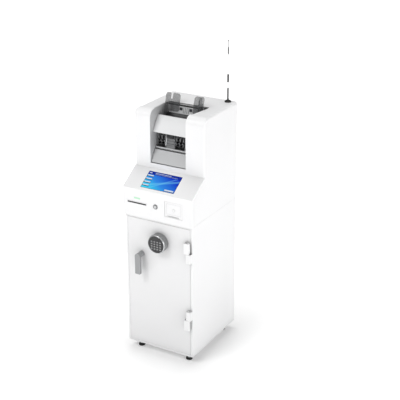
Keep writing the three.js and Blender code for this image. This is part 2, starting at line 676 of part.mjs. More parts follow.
const floorStart = [HOPPER.y - 6, HOPPER.z - 15];
const floorEnd = [
  floorStart[0] - FLOOR_LENGTH * Math.cos(FLOOR_SLOPE),
  floorStart[1] - FLOOR_LENGTH * Math.sin(FLOOR_SLOPE),
];

function hopperPlate() {
  const leanTop = (WALL_TOP - 1 - HOPPER.z) / Math.cos(LEAN);
  const path = [
    floorEnd,
    floorStart,
    [HOPPER.y - 1, HOPPER.z - 9],
    [HOPPER.y + 2.2, HOPPER.z],
    [HOPPER.y + 2.2 + leanTop * Math.sin(LEAN), HOPPER.z + leanTop * Math.cos(LEAN)],
  ];
  const plate = prismX(band(path, 0, PLATE_THICK), PLATE_LEFT, BAY_RIGHT + 3);
  const windows = ROLLER_SEGMENTS.map((x) => box(
    [x - ROLLER_WIDTH / 2 - 2, x + ROLLER_WIDTH / 2 + 2],
    [PICKUP.y - PICKUP.radius - 1, PICKUP.y + PICKUP.radius + 1],
    [PICKUP.z, PICKUP.z + 3 * BITE],
  ));
  return cut(plate, ...windows);
}

function rollerShaft({ y, z, radius, shaft }) {
  const core = rodX(y, z, shaft, SHAFT_LEFT, SHAFT_RIGHT, 16);
  const half = ROLLER_WIDTH / 2;
  const tyres = ROLLER_SEGMENTS.map((x) => rodX(y, z, radius, x - half, x + half, 24));
  return join(core, ...tyres);
}

// Impeller: a shaft with two sets of finger wheels that lay the notes into the pocket.
const WHEEL = { hub: 13, sleeve: 9, fingers: 6, thick: 5, pitch: 20, sets: [-80, 28], perSet: 3 };

function fingerWheel(x) {
  const points = [];
  const step = (2 * Math.PI) / WHEEL.fingers;
  for (let i = 0; i < WHEEL.fingers; i += 1) {
    const at = (radius, turn) => {
      const angle = -(i + turn) * step;
      return [IMPELLER.y + radius * Math.cos(angle), IMPELLER.z + radius * Math.sin(angle)];
    };
    points.push(at(WHEEL.hub, 0), at(21, 0.22), at(27, 0.52), at(IMPELLER.radius, 0.98));
    points.push(at(IMPELLER.radius - 1.5, 1.12), at(23, 0.84), at(17, 0.62));
  }
  return prismX(points.reverse(), x - WHEEL.thick / 2, x + WHEEL.thick / 2);
}

function impeller() {
  const { y, z, shaft } = IMPELLER;
  const pieces = [rodX(y, z, shaft, SHAFT_LEFT, SHAFT_RIGHT, 16)];
  for (const centre of WHEEL.sets) {
    const reach = WHEEL.pitch + 6;
    pieces.push(rodX(y, z, WHEEL.sleeve, centre - reach, centre + reach, 16));
    for (let i = 0; i < WHEEL.perSet; i += 1) {
      pieces.push(fingerWheel(centre + (i - (WHEEL.perSet - 1) / 2) * WHEEL.pitch));
    }
  }
  return join(...pieces);
}

// Plate behind the pocket, with two windows for the finger wheels and ribs on its middle.
const STACKER = { y: HEAD_FRONT + 61, foot: SEAM + 326, top: SEAM + 412, bend: 20, windowHalf: 29 };
const STACKER_RIB = { count: 3, above: 24, pitch: 16, height: 5, proud: 5, fromSets: 31 };

function stackerPlate() {
  const { y, foot: z0, top: z1, bend, windowHalf } = STACKER;
  const path = [[y - 16, z0], [y, z0 + bend], [y, z1], [y + 14, z1 + 8]];
  const plate = prismX(band(path, 0, PLATE_THICK), PLATE_LEFT, PLATE_RIGHT);
  const windows = WHEEL.sets.map((centre) => {
    const left = Math.max(centre - windowHalf, BAY_LEFT + 6);
    const right = Math.min(centre + windowHalf, BAY_RIGHT - 6);
    return box([left, right], [y - BITE, y + 2 * BITE], [z0 + 8, z1 - 6]);
  });
  const ribX = [WHEEL.sets[0] + STACKER_RIB.fromSets, WHEEL.sets[1] - STACKER_RIB.fromSets];
  const ribs = Array.from({ length: STACKER_RIB.count }, (_, i) => {
    const z = z0 + STACKER_RIB.above + i * STACKER_RIB.pitch;
    return box(ribX, [y - STACKER_RIB.proud, y + 1], [z, z + STACKER_RIB.height]);
  });
  return join(cut(plate, ...windows), ...ribs);
}

// Pocket back: a slanted flap hung from its upper edge, which lets the notes drop into the chute.
const FLAP = { y: HEAD_FRONT + 41, z: SEAM + 320, length: 69, angle: THREE.MathUtils.degToRad(31.5) };

function pocketFlap() {
  const { y, z, length, angle } = FLAP;
  const foot = [y - length * Math.sin(angle), z - length * Math.cos(angle)];
  const [x0, x1] = [PLATE_LEFT + 0.5, PLATE_RIGHT - 0.5];
  const plate = prismX(band([foot, [y, z]], 0, PLATE_THICK), x0, x1);
  const pin = rodX(y + 1, z - 1, 3, x0, x1, 14);
  return join(plate, pin);
}

function dropChute() {
  const { left, right, front, back, wall } = CHUTE;
  const [z0, z1] = [SEAM + GAP, BAY_FLOOR - 8];
  const outer = box([left, right], [front, back], [z0, z1]);
  return cut(outer, box([left + wall, right - wall], [front + wall, back - wall], [z0 - BITE, z1 + BITE]));
}

// Note guides: clear smoked plates, L-shaped in plan, that lean back with the hopper.
const GUIDE = { left: -98, right: 100, depth: 52, wing: 58, thick: 2.5, top: 105, foot: -26, notch: 13 };
const GUIDE_LIFT = 2; // above the hopper's floor
const FAR = 60; // further than any part of a guide from the hopper

function noteGuide(isRight) {
  const mirror = isRight ? -1 : 1;
  const edge = isRight ? GUIDE.right : GUIDE.left;
  const across = (from, to) => [edge + mirror * from, edge + mirror * to].sort((a, b) => a - b);
  const wingOutline = roundedRect(-GUIDE.depth, 0, GUIDE.foot, GUIDE.top, [3, 0, 16, 14]);
  const wing = prismX(wingOutline, ...across(0, GUIDE.thick), 5);
  const lobeRadii = isRight ? [12, 0, 8, 16] : [0, 12, 16, 8];
  const lobe = roundedRect(...across(GUIDE.notch, GUIDE.wing), 8, GUIDE.top - 2, lobeRadii);
  const neck = roundedRect(...across(0, GUIDE.wing / 2), 8, GUIDE.top - 34, 0);
  const upright = join(wing, prismY(lobe, -GUIDE.thick, 0, 5), prismY(neck, -GUIDE.thick, 0));
  const place = new THREE.Matrix4()
    .makeTranslation(0, HOPPER.y - 2.5, HOPPER.z)
    .multiply(new THREE.Matrix4().makeRotationX(-LEAN));
  const leaning = solidOf(geometryOf(upright).applyMatrix4(place));
  const aboveFloor = (behind) => floorStart[1] + GUIDE_LIFT + behind * Math.tan(FLOOR_SLOPE);
  const room = [
    [floorEnd[0] - FAR, HEAD_TOP + 2 * FAR],
    [floorStart[0] + FAR, HEAD_TOP + 2 * FAR],
    [floorStart[0] + FAR, floorStart[1] + 100],
    [floorStart[0] + 3, aboveFloor(3)],
    [floorEnd[0] - FAR, aboveFloor(floorEnd[0] - FAR - floorStart[0])],
  ];
  return leaning.intersect(prismX(room, -SIDE, SIDE));
}

// ---- Rear, antenna and electronics ------------------------------------------------------------------
const REAR = { thick: 3, doorHalf: 150, doorBottom: SEAM + 44, doorTop: HEAD_TOP - 44 };
const VENT = { count: 8, half: 60, pitch: 12, height: 5, radius: 2.4 };
const VENT_FEET = [REAR.doorBottom + 50, REAR.doorTop - 140]; // where the two groups start
const INLET = { x: 173, z: SEAM + 72, half: 14, halfHeight: 12, depth: 24, socket: 18, pinPitch: 6 };

function ventSlots(foot) {
  return Array.from({ length: VENT.count }, (_, i) => {
    const z = foot + i * VENT.pitch;
    const outline = roundedRect(-VENT.half, VENT.half, z, z + VENT.height, VENT.radius);
    return prismY(outline, BACK - BITE, BACK + BITE, 2);
  });
}

function rearPanel() {
  const inside = SIDE - SHEET - GAP;
  const top = HEAD_TOP - SHEET - GAP;
  const inner = TOP_EDGE_ROUND - SHEET;
  const plate = prismY(
    roundedRect(-inside, inside, SEAM + GAP, top, [0, 0, inner, inner]),
    BACK - REAR.thick,
    BACK,
  );
  const through = [BACK - BITE, BACK + BITE];
  const doorway = box([-REAR.doorHalf, REAR.doorHalf], through, [REAR.doorBottom, REAR.doorTop]);
  const { x, z, half, halfHeight } = INLET;
  const inlet = box([x - half, x + half], through, [z - halfHeight, z + halfHeight]);
  return cut(plate, doorway, inlet);
}

function rearDoor() {
  const plate = box(
    [-REAR.doorHalf + DOOR_GAP, REAR.doorHalf - DOOR_GAP],
    [BACK - REAR.thick, BACK],
    [REAR.doorBottom + DOOR_GAP, REAR.doorTop - DOOR_GAP],
  );
  return cut(plate, ...VENT_FEET.flatMap(ventSlots));
}

function powerInlet() {
  const { x, z, depth, socket, pinPitch } = INLET;
  const [half, halfHeight] = [INLET.half - GAP, INLET.halfHeight - GAP];
  const shell = box([x - half, x + half], [BACK - depth, BACK - 0.5], [z - halfHeight, z + halfHeight]);
  const mouth = box([x - 11, x + 11], [BACK - socket, BACK + BITE], [z - 8, z + 8]);
  const pins = [-pinPitch, 0, pinPitch].map((shift) => (
    box([x + shift - 1, x + shift + 1], [BACK - socket - 2, BACK - 6], [z - 2.5, z + 2.5])
  ));
  return join(cut(shell, mouth), ...pins);
}

// Antenna: a round foot and a whip in sections; the profile is (radius, height above the housing).
const ANTENNA = { x: 160, y: FRONT + 440, foot: 17, rod: 4, coil: 4.6, wire: 1.2, height: 325 };

function antenna() {
  const { foot: base, rod, coil, wire, height } = ANTENNA;
  const profile = [
    [0, GAP], [base, GAP], [base, 5], [13, 9], [6, 13], [rod, 16], [rod, 74], [2, 75], [2, 105], [coil, 107],
    [coil, 145], [wire, 148], [wire, 252], [2.6, 254], [2.6, 286], [0.9, 288], [0.9, 318], [2.6, 320],
    [2.6, 324], [0, height],
  ].map(([r, z]) => new THREE.Vector2(r, z));
  const turned = new THREE.LatheGeometry(profile, 14).rotateX(Math.PI / 2);
  return solidOf(turned.translate(ANTENNA.x, ANTENNA.y, HEAD_TOP));
}

// Control unit on the safe's roof behind the chute: a case with a recess for its connectors.
const CONTROL = { left: -170, right: 90, front: CHUTE.back + 40, depth: 150, height: 90 };
const SOCKET_ROW = { margin: 20, depth: 10 };

function controlUnit() {
  const { left, right, front, depth, height } = CONTROL;
  const { margin } = SOCKET_ROW;
  const body = box([left, right], [front, front + depth], [SEAM + GAP, SEAM + height]);
  const recess = box(
    [left + margin, right - margin],
    [front - BITE, front + SOCKET_ROW.depth],
    [SEAM + margin, SEAM + height - margin],
  );
  return cut(body, recess);
}

// ---- Assembly --------------------------------------------------------------------------------------
add('safe_shell', 'white_paint', safeShell());
const footPlaces = {
  foot_front_left: [-FOOT.x, FRONT + FOOT.inset],
  foot_front_right: [FOOT.x, FRONT + FOOT.inset],
  foot_rear_left: [-FOOT.x, BACK - FOOT.inset],
  foot_rear_right: [FOOT.x, BACK - FOOT.inset],
};
for (const [name, [x, y]] of Object.entries(footPlaces)) add(name, 'black_rubber', foot(x, y));

const { bodyHeight, doorHeight } = HINGE;
const [upper, lower] = [UPPER_HINGE, LOWER_HINGE];
add('body_hinge_upper', 'white_paint', bodyHinge(upper - bodyHeight, upper - 0.5, upper - 1, upper + 40));
add('body_hinge_lower', 'white_paint', bodyHinge(lower + 0.5, lower + bodyHeight, lower - 40, lower + 1));
add('door_hinge_upper', 'white_paint', doorHinge(upper + 0.5, upper + doorHeight));
add('door_hinge_lower', 'white_paint', doorHinge(lower - doorHeight, lower - 0.5));
add('safe_door', 'white_paint', safeDoor());
add('lock_case', 'grey_metal', lockCase());
add('keypad_drum', 'grey_metal', keypadDrum());
add('keypad_face', 'dark_plastic', keypadFace());
keyCentres().forEach((centre, i) => {
  const row = Math.floor(i / KEYPAD.columns) + 1;
  const column = (i % KEYPAD.columns) + 1;
  add(`key_row${row}_col${column}`, 'key_plastic', keypadKey(centre));
});
add('safe_handle', 'grey_metal', safeHandle());
add('bolt_bar', 'steel', boltBar());
add('cash_cassette', 'grey_plastic', cashCassette());

add('housing_shell', 'white_paint', housingShell());
add('head_fascia', 'white_plastic', headFascia());
add('console_fascia', 'white_plastic', consoleFascia());
add('touch_glass', 'glass', touchGlass());
add('display_module', 'dark_plastic', displayModule());
add('slip_slot_bezel', 'white_plastic', slipSlotBezel());
add('lock_barrel', 'steel', lockBarrel());
add('lock_plug', 'steel', lockPlug());
add('printer_body', 'grey_plastic', printerBody());
add('printer_door', 'white_plastic', printerDoor());
add('printer_button', 'pale_metal', printerButton());

add('counter_wall_left', 'grey_plastic', counterWall(false));
add('counter_wall_right', 'grey_plastic', counterWall(true));
add('stacker_hood', 'grey_plastic', stackerHood());
add('stacker_plate', 'grey_plastic', stackerPlate());
add('hopper_plate', 'grey_plastic', hopperPlate());
add('pickup_roller', 'black_rubber', rollerShaft(PICKUP));
add('feed_roller', 'black_rubber', rollerShaft(FEED));
add('impeller', 'black_rubber', impeller());
add('pocket_flap', 'grey_plastic', pocketFlap());
add('drop_chute', 'pale_metal', dropChute());
add('note_guide_left', 'smoke_plastic', noteGuide(false));
add('note_guide_right', 'smoke_plastic', noteGuide(true));

add('rear_panel', 'white_paint', rearPanel());
add('rear_door', 'white_paint', rearDoor());
add('power_inlet', 'dark_plastic', powerInlet());
add('control_unit', 'board', controlUnit());
add('antenna', 'dark_plastic', antenna());

export default group;
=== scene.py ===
"""A free-standing cash deposit machine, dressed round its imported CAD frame.

Metres, +Z up, the safe door towards -Y.
"""
import json
import math

import bmesh
import bpy
from mathutils import Matrix, Vector


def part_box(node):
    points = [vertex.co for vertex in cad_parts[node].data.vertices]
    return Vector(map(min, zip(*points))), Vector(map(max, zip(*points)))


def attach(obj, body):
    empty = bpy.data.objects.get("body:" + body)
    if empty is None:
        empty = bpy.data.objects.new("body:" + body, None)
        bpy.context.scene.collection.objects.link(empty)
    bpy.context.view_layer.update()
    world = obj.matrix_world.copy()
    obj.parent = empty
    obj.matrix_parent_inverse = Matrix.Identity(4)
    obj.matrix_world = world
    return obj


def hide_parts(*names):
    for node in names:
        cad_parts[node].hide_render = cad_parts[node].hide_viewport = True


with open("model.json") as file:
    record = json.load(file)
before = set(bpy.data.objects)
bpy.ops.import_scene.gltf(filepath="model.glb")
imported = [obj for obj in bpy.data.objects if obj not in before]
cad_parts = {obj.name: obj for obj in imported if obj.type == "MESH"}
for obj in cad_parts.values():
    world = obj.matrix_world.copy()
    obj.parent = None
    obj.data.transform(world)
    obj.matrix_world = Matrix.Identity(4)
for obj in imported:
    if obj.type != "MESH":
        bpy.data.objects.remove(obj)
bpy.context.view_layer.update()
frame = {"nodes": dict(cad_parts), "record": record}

MM = 0.001
NODES = frame["nodes"]
BODIES = frame["record"]["behaviour"]["bodies"]
BODY_OF = {node: body for body, nodes in BODIES.items() for node in nodes}
SLOT_OF = {row["node"]: row["material_slot"] for row in frame["record"]["subparts"]}

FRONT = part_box("safe_door")[0].y  # plane of the safe's front
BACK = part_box("safe_shell")[1].y
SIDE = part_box("safe_shell")[1].x
SAFE_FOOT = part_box("safe_shell")[0].z
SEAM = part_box("safe_shell")[1].z  # where the housing stands on the safe
HEAD_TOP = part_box("housing_shell")[1].z
HEAD_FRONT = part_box("head_fascia")[0].y
PANEL_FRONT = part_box("console_fascia")[0].y
BAY_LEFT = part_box("counter_wall_left")[1].x
BAY_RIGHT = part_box("counter_wall_right")[0].x
PANEL_TOP = SEAM + 154 * MM  # where the console's slope starts
CONSOLE_RISE = 78 * MM
CONSOLE_ANGLE = math.atan2(CONSOLE_RISE, HEAD_FRONT - PANEL_FRONT)
HOPPER_FOOT = Vector((0, HEAD_FRONT + 165.2 * MM, SEAM + 488 * MM))  # foot of the leaning plate's face
HOPPER_LEAN = math.radians(17)


# ---- Shader nodes and scene objects ----
def set_inputs(node, **values):
    """Sets a node's inputs by their names, with _ for a space."""
    for socket, value in values.items():
        node.inputs[socket.replace("_", " ")].default_value = value


def add_node(nodes, kind, **values):
    node = nodes.new(f"ShaderNode{kind}")
    set_inputs(node, **values)
    return node


def add_object(name, data):
    made = bpy.data.objects.new(name, data)
    bpy.context.scene.collection.objects.link(made)
    return made


# ---- Camera, floor and light ----
CAMERA = {
    "azimuth": math.radians(29.669),
    "elevation": math.radians(22.571),
    "distance": 5.2385,
    "target": Vector((0.1081, FRONT + 0.240, SAFE_FOOT + 0.7994)),
    "lens": 90.235,
}


def make_camera():
    az, el = CAMERA["azimuth"], CAMERA["elevation"]
    back = Vector((math.sin(az) * math.cos(el), -math.cos(az) * math.cos(el), math.sin(el)))
    data = bpy.data.cameras.new("camera")
    data.lens = CAMERA["lens"]
    data.sensor_width = 36.0
    data.clip_end = 50.0
    camera = add_object("camera", data)
    camera.location = CAMERA["target"] + back * CAMERA["distance"]
    camera.rotation_euler = (-back).to_track_quat("-Z", "Y").to_euler()
    bpy.context.scene.camera = camera


WHITE = (1.0, 1.0, 1.0, 1.0)
ROOM_LIGHT = 0.3
SOFT_BOX_SIZE = 2.6
SOFT_BOXES = {
    "overhead_box": {"at": (-0.3, 0.75, 5.2), "aim": (0.0, 0.0, 1.0), "power": 76.0},
    "front_box": {"at": (-1.5, -3.8, 4.6), "aim": (0.0, 0.0, 0.8), "power": 110.0},
    "side_box": {"at": (6.0, -1.2, 1.5), "aim": (0.0, 0.0, 0.7), "power": 96.0},
}


def soft_box(name, at, aim, power):
    data = bpy.data.lights.new(name, "AREA")
    data.shape = "DISK"
    data.size = SOFT_BOX_SIZE
    data.energy = power
    box = add_object(name, data)
    box.location = at
    box.rotation_euler = (Vector(aim) - Vector(at)).to_track_quat("-Z", "Y").to_euler()


def make_studio():
    """A dim room with three soft boxes: one overhead, one in front on the left, one on the right."""
    world = bpy.data.worlds.new("studio")
    bpy.context.scene.world = world
    world.use_nodes = True
    set_inputs(world.node_tree.nodes["Background"], Color=WHITE, Strength=ROOM_LIGHT)
    for name, placing in SOFT_BOXES.items():
        soft_box(name, **placing)
    bpy.context.scene.view_settings.view_transform = "Standard"


FLOOR_SIZE = 60.0
FLOOR_TONE = 0.93
# The floor's own glow grows with the distance in metres, where the soft boxes reach less.
FLOOR_GLOW = {"To_Min": 0.22, "To_Max": 0.80, "From_Min": 0.25, "From_Max": 1.3}


def make_floor():
    """A pale floor that grows evenly white with distance."""
    bm = bmesh.new()
    bmesh.ops.create_grid(bm, x_segments=2, y_segments=2, size=FLOOR_SIZE / 2)
    mesh = bpy.data.meshes.new("floor")
    bm.to_mesh(mesh)
    bm.free()
    floor = add_object("floor", mesh)
    pale = bpy.data.materials.new("floor_pale")
    pale.use_nodes = True
    nodes, links = pale.node_tree.nodes, pale.node_tree.links
    shader = nodes["Principled BSDF"]
    tone = (FLOOR_TONE, FLOOR_TONE, FLOOR_TONE, 1.0)
    set_inputs(shader, Base_Color=tone, Roughness=0.9, Specular_IOR_Level=0.1, Emission_Color=WHITE)
    place = add_node(nodes, "TexCoord")
    distance = add_node(nodes, "VectorMath")
    distance.operation = "LENGTH"
    links.new(place.outputs["Object"], distance.inputs[0])
    glow = add_node(nodes, "MapRange", **FLOOR_GLOW)
    links.new(distance.outputs["Value"], glow.inputs["Value"])
    links.new(glow.outputs["Result"], shader.inputs["Emission Strength"])
    mesh.materials.append(pale)


# ---- Materials ----
# Painted shade: how far the darkening of corners and seams reaches, its samples and its darkest share of the
# colour.
PAINTED_CORNER_SHADE = {"reach": 90 * MM, "samples": 12, "darkest": 0.05}
DRIFT_SCALE = 7.0
HANDLING_SCALE = 45.0
GLOSS_DRIFT = 0.06
BUMP_STRENGTH = 0.35
COAT_ROUGHNESS = 0.12
GLOW_BASE = 0.06


def paint_corner_shade(nodes, links, colour_out, colour, amount):
    """Painted shade: the colour darkened towards corners and seams, where little light reaches."""
    open_sky = add_node(nodes, "AmbientOcclusion", Distance=PAINTED_CORNER_SHADE["reach"])
    open_sky.samples = PAINTED_CORNER_SHADE["samples"]
    closed_in = add_node(nodes, "MapRange", From_Min=1.0, From_Max=0.0, To_Max=amount)
    links.new(open_sky.outputs["AO"], closed_in.inputs["Value"])
    painted_darkening = add_node(nodes, "Mix")
    painted_darkening.data_type = "RGBA"
    set_inputs(painted_darkening, B=(*[c * PAINTED_CORNER_SHADE["darkest"] for c in colour], 1.0))
    links.new(closed_in.outputs["Result"], painted_darkening.inputs["Factor"])
    links.new(colour_out, painted_darkening.inputs["A"])
    return painted_darkening.outputs["Result"]


def finish_material(
    name, colour, roughness, metallic=0.0, grain=1400.0, depth=0.02, shade=0.03,
    stretch=(1.0, 1.0, 1.0), alpha=1.0, specular=0.5, coat=0.0, painted_shade=0.0,
):
    """A moulded, painted or metal surface: fine grain in the bump, slow drift in colour and in gloss.

    depth is the grain's in mm. painted_shade is how much painted shade darkens the colour in corners and
    along seams.
    """
    made = bpy.data.materials.new(name)
    made.use_nodes = True
    nodes, links = made.node_tree.nodes, made.node_tree.links
    shader = nodes["Principled BSDF"]
    set_inputs(shader, Metallic=metallic, Alpha=alpha, Specular_IOR_Level=specular)
    set_inputs(shader, Coat_Weight=coat, Coat_Roughness=COAT_ROUGHNESS)

    place = add_node(nodes, "TexCoord")
    scaled = add_node(nodes, "Mapping", Scale=stretch)
    links.new(place.outputs["Object"], scaled.inputs["Vector"])

    drift = add_node(nodes, "TexNoise", Scale=DRIFT_SCALE, Detail=3.0)
    links.new(scaled.outputs["Vector"], drift.inputs["Vector"])
    darker = [c * (1.0 - shade) for c in colour]
    lighter = [min(1.0, c * (1.0 + shade)) for c in colour]
    tint = add_node(nodes, "Mix")
    tint.data_type = "RGBA"
    set_inputs(tint, A=(*darker, 1.0), B=(*lighter, 1.0))
    links.new(drift.outputs["Fac"], tint.inputs["Factor"])
    colour_out = tint.outputs["Result"]
    # Painted shade: the colour darkens in corners and along seams, where an occlusion node finds little open
    # sky.
    if painted_shade:
        colour_out = paint_corner_shade(nodes, links, colour_out, colour, painted_shade)
    links.new(colour_out, shader.inputs["Base Color"])

    handled = add_node(nodes, "TexNoise", Scale=HANDLING_SCALE, Detail=4.0)
    links.new(scaled.outputs["Vector"], handled.inputs["Vector"])
    smoothest, roughest = max(0.02, roughness - GLOSS_DRIFT), min(1.0, roughness + GLOSS_DRIFT)
    sheen = add_node(nodes, "MapRange", To_Min=smoothest, To_Max=roughest)
    links.new(handled.outputs["Fac"], sheen.inputs["Value"])
    links.new(sheen.outputs["Result"], shader.inputs["Roughness"])

    texture = add_node(nodes, "TexNoise", Scale=grain, Detail=2.0)
    links.new(scaled.outputs["Vector"], texture.inputs["Vector"])
    bump = add_node(nodes, "Bump", Strength=BUMP_STRENGTH, Distance=depth * MM)
    links.new(texture.outputs["Fac"], bump.inputs["Height"])
    links.new(bump.outputs["Normal"], shader.inputs["Normal"])
    return made


def glow_material(name, colour, strength):
    made = finish_material(name, [c * GLOW_BASE for c in colour], 0.25, specular=0.15)
    shader = made.node_tree.nodes["Principled BSDF"]
    set_inputs(shader, Emission_Color=(*colour, 1.0), Emission_Strength=strength)
    return made


SWEEP_COLOUR = (0.25, 0.85, 1.0, 1.0)
SWEEPS = ((0.55, 0.12, 0.10, 0.35), (1.15, -0.22, 0.07, 0.28))  # slope, start, width and strength


def lit_picture(name):
    """A lit screen: cyan at the lower left, deep blue at the upper right, with two sweeps of light."""
    made = glow_material(name, (0.0, 0.1, 0.6), 0.86)
    nodes, links = made.node_tree.nodes, made.node_tree.links
    shader = nodes["Principled BSDF"]
    low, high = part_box("touch_glass")
    place = add_node(nodes, "TexCoord")
    parts = add_node(nodes, "SeparateXYZ")
    links.new(place.outputs["Object"], parts.inputs["Vector"])

    def share(output, start, end):
        mapped = add_node(nodes, "MapRange", From_Min=start, From_Max=end)
        links.new(output, mapped.inputs["Value"])
        return mapped.outputs["Result"]

    def combined(operation, first, second):
        node = add_node(nodes, "Math")
        node.operation = operation
        for socket, value in zip(node.inputs, (first, second)):
            if isinstance(value, float):
                socket.default_value = value
            else:
                links.new(value, socket)
        return node.outputs["Value"]

    across = share(parts.outputs["X"], low.x, high.x)
    up = share(parts.outputs["Y"], low.y, high.y)
    diagonal = combined("ADD", combined("MULTIPLY", across, 0.55), combined("MULTIPLY", up, 0.5))
    ramp = add_node(nodes, "ValToRGB")
    stops = ramp.color_ramp.elements
    stops[0].position, stops[0].color = 0.10, (0.05, 0.72, 0.98, 1.0)
    stops[1].position, stops[1].color = 0.80, (0.002, 0.03, 0.60, 1.0)
    middle = stops.new(0.42)
    middle.color = (0.03, 0.27, 0.85, 1.0)
    links.new(diagonal, ramp.inputs["Fac"])
    colour = ramp.outputs["Color"]
    for slope, start, width, strength in SWEEPS:
        line = combined("ADD", combined("MULTIPLY", across, slope), start)
        distance = combined("ABSOLUTE", combined("SUBTRACT", up, line), 0.0)
        sweep = add_node(nodes, "MapRange", From_Max=width, To_Min=strength, To_Max=0.0)
        sweep.interpolation_type = "SMOOTHSTEP"
        links.new(distance, sweep.inputs["Value"])
        lighter = add_node(nodes, "Mix")
        lighter.data_type = "RGBA"
        set_inputs(lighter, B=SWEEP_COLOUR)
        links.new(sweep.outputs["Result"], lighter.inputs["Factor"])
        links.new(colour, lighter.inputs["A"])
        colour = lighter.outputs["Result"]
    links.new(colour, shader.inputs["Emission Color"])
    return made


PAINT = {"grain": 900.0, "depth": 0.03, "shade": 0.012}
RUBBER = {"grain": 2200.0, "depth": 0.05}
BRUSHED = (0.06, 1.0, 1.0)
# Colour, roughness, and where the finish differs from finish_material's own values.
FINISHES = {
    # The powder coat, the door's and the hinges' coats and the white mouldings carry painted shade in corners
    # and along seams.
    "powder_coat": ((0.86, 0.86, 0.865), 0.42, {"painted_shade": 0.5, **PAINT}),
    # The door's coat: the powder coat made darker all over, as painted shade on the door.
    "door_coat_painted_shade": ((0.81, 0.81, 0.815), 0.42, {"painted_shade": 0.5, **PAINT}),
    # The hinges' coat: the powder coat with the strongest painted shade in corners and along seams.
    "hinge_coat_painted_shade": ((0.86, 0.86, 0.865), 0.42, {"painted_shade": 1.0, **PAINT}),
    "moulded_white": ((0.87, 0.87, 0.875), 0.36, {"grain": 1600.0, "shade": 0.01, "painted_shade": 0.4}),
    "moulded_pale": ((0.74, 0.745, 0.75), 0.42, {"grain": 1500.0, "shade": 0.015}),
    "moulded_grey": ((0.52, 0.525, 0.53), 0.45, {"grain": 1500.0, "depth": 0.03}),
    # A dark grey plastic, made darker still as painted shade on the stacker plate and ribs inside the shaded
    # bay.
    "counter_grey_and_painted_shade": ((0.20, 0.203, 0.207), 0.48, {"grain": 1300.0, "depth": 0.04, "shade": 0.05}),
    # A light grey plastic, made lighter still as painted light on the hopper plate in the bay's shade.
    "plate_grey_and_painted_light": ((0.60, 0.605, 0.61), 0.45, {"grain": 1300.0, "depth": 0.03, "shade": 0.05}),
    "dark_plastic": ((0.022, 0.022, 0.024), 0.42, {"grain": 1800.0, "depth": 0.03}),
    "soft_key": ((0.21, 0.21, 0.215), 0.55, {"grain": 2500.0}),
    "metallic_grey": ((0.25, 0.253, 0.257), 0.36, {"metallic": 0.25, "grain": 3500.0, "depth": 0.01}),
    "bright_ring": ((0.62, 0.63, 0.64), 0.24, {"metallic": 0.45, "grain": 3000.0, "depth": 0.005}),
    "handle_paint": ((0.31, 0.315, 0.32), 0.4, {"metallic": 0.3, "grain": 2500.0, "depth": 0.015}),
    "brushed_steel": (
        (0.55, 0.56, 0.57), 0.3, {"metallic": 1.0, "grain": 900.0, "depth": 0.01, "stretch": BRUSHED},
    ),
    "galvanised": ((0.50, 0.51, 0.53), 0.4, {"metallic": 0.9, "grain": 220.0, "shade": 0.12}),
    "black_rubber": ((0.016, 0.016, 0.016), 0.75, RUBBER),
    # The wheels' own grey rubber, made lighter as painted light against the bay's deep shade.
    "grey_rubber_and_painted_light": ((0.24, 0.242, 0.246), 0.6, RUBBER),
    "smoked_guide": ((0.10, 0.103, 0.107), 0.12, {"grain": 400.0, "depth": 0.004, "alpha": 0.4}),
    "screen_black": ((0.012, 0.016, 0.03), 0.1, {"grain": 300.0, "depth": 0.002, "coat": 0.6}),
    "pale_green": ((0.50, 0.80, 0.58), 0.4, {"grain": 1500.0, "depth": 0.01}),
    "white_mark": ((0.55, 0.55, 0.55), 0.5, {"grain": 2500.0, "depth": 0.01}),
    "paper": ((0.80, 0.80, 0.78), 0.8, {"grain": 1200.0, "depth": 0.03}),
}
# Colour and strength.
GLOWS = {
    "title_blue": ((0.006, 0.03, 0.38), 0.8),
    "button_white": ((0.80, 0.90, 1.0), 0.72),
    "shadow_blue": ((0.004, 0.03, 0.16), 0.7),
    "green_glow": ((0.16, 0.40, 0.22), 0.1),
    "red_glow": ((0.30, 0.06, 0.05), 0.08),
}
MATERIALS = {"lit_screen": lit_picture("lit_screen")}
for name, (colour, roughness, details) in FINISHES.items():
    MATERIALS[name] = finish_material(name, colour, roughness, **details)
for name, (colour, strength) in GLOWS.items():
    MATERIALS[name] = glow_material(name, colour, strength)

MATERIAL_OF_SLOT = {
    "white_paint": "powder_coat",
    "white_plastic": "moulded_white",
    "grey_plastic": "moulded_grey",
    "smoke_plastic": "smoked_guide",
    "dark_plastic": "dark_plastic",
    "key_plastic": "soft_key",
    "metallic_plastic": "metallic_grey",
    "handle_metal": "handle_paint",
    "steel": "brushed_steel",
    "galvanised": "galvanised",
    "black_rubber": "black_rubber",
    "screen_glass": "screen_black",
}
SLOT_OF_MATERIAL = {
    **{material: slot for slot, material in MATERIAL_OF_SLOT.items()},
    **dict.fromkeys(("door_coat_painted_shade", "hinge_coat_painted_shade"), "white_paint"),
    **dict.fromkeys(("pale_green", "white_mark", "paper"), "white_plastic"),
    **dict.fromkeys(("moulded_pale", "counter_grey_and_painted_shade", "plate_grey_and_painted_light"), "grey_plastic"),
    **dict.fromkeys(("lit_screen", *GLOWS), "screen_glass"),
    "grey_rubber_and_painted_light": "black_rubber",
    "bright_ring": "metallic_plastic",
}


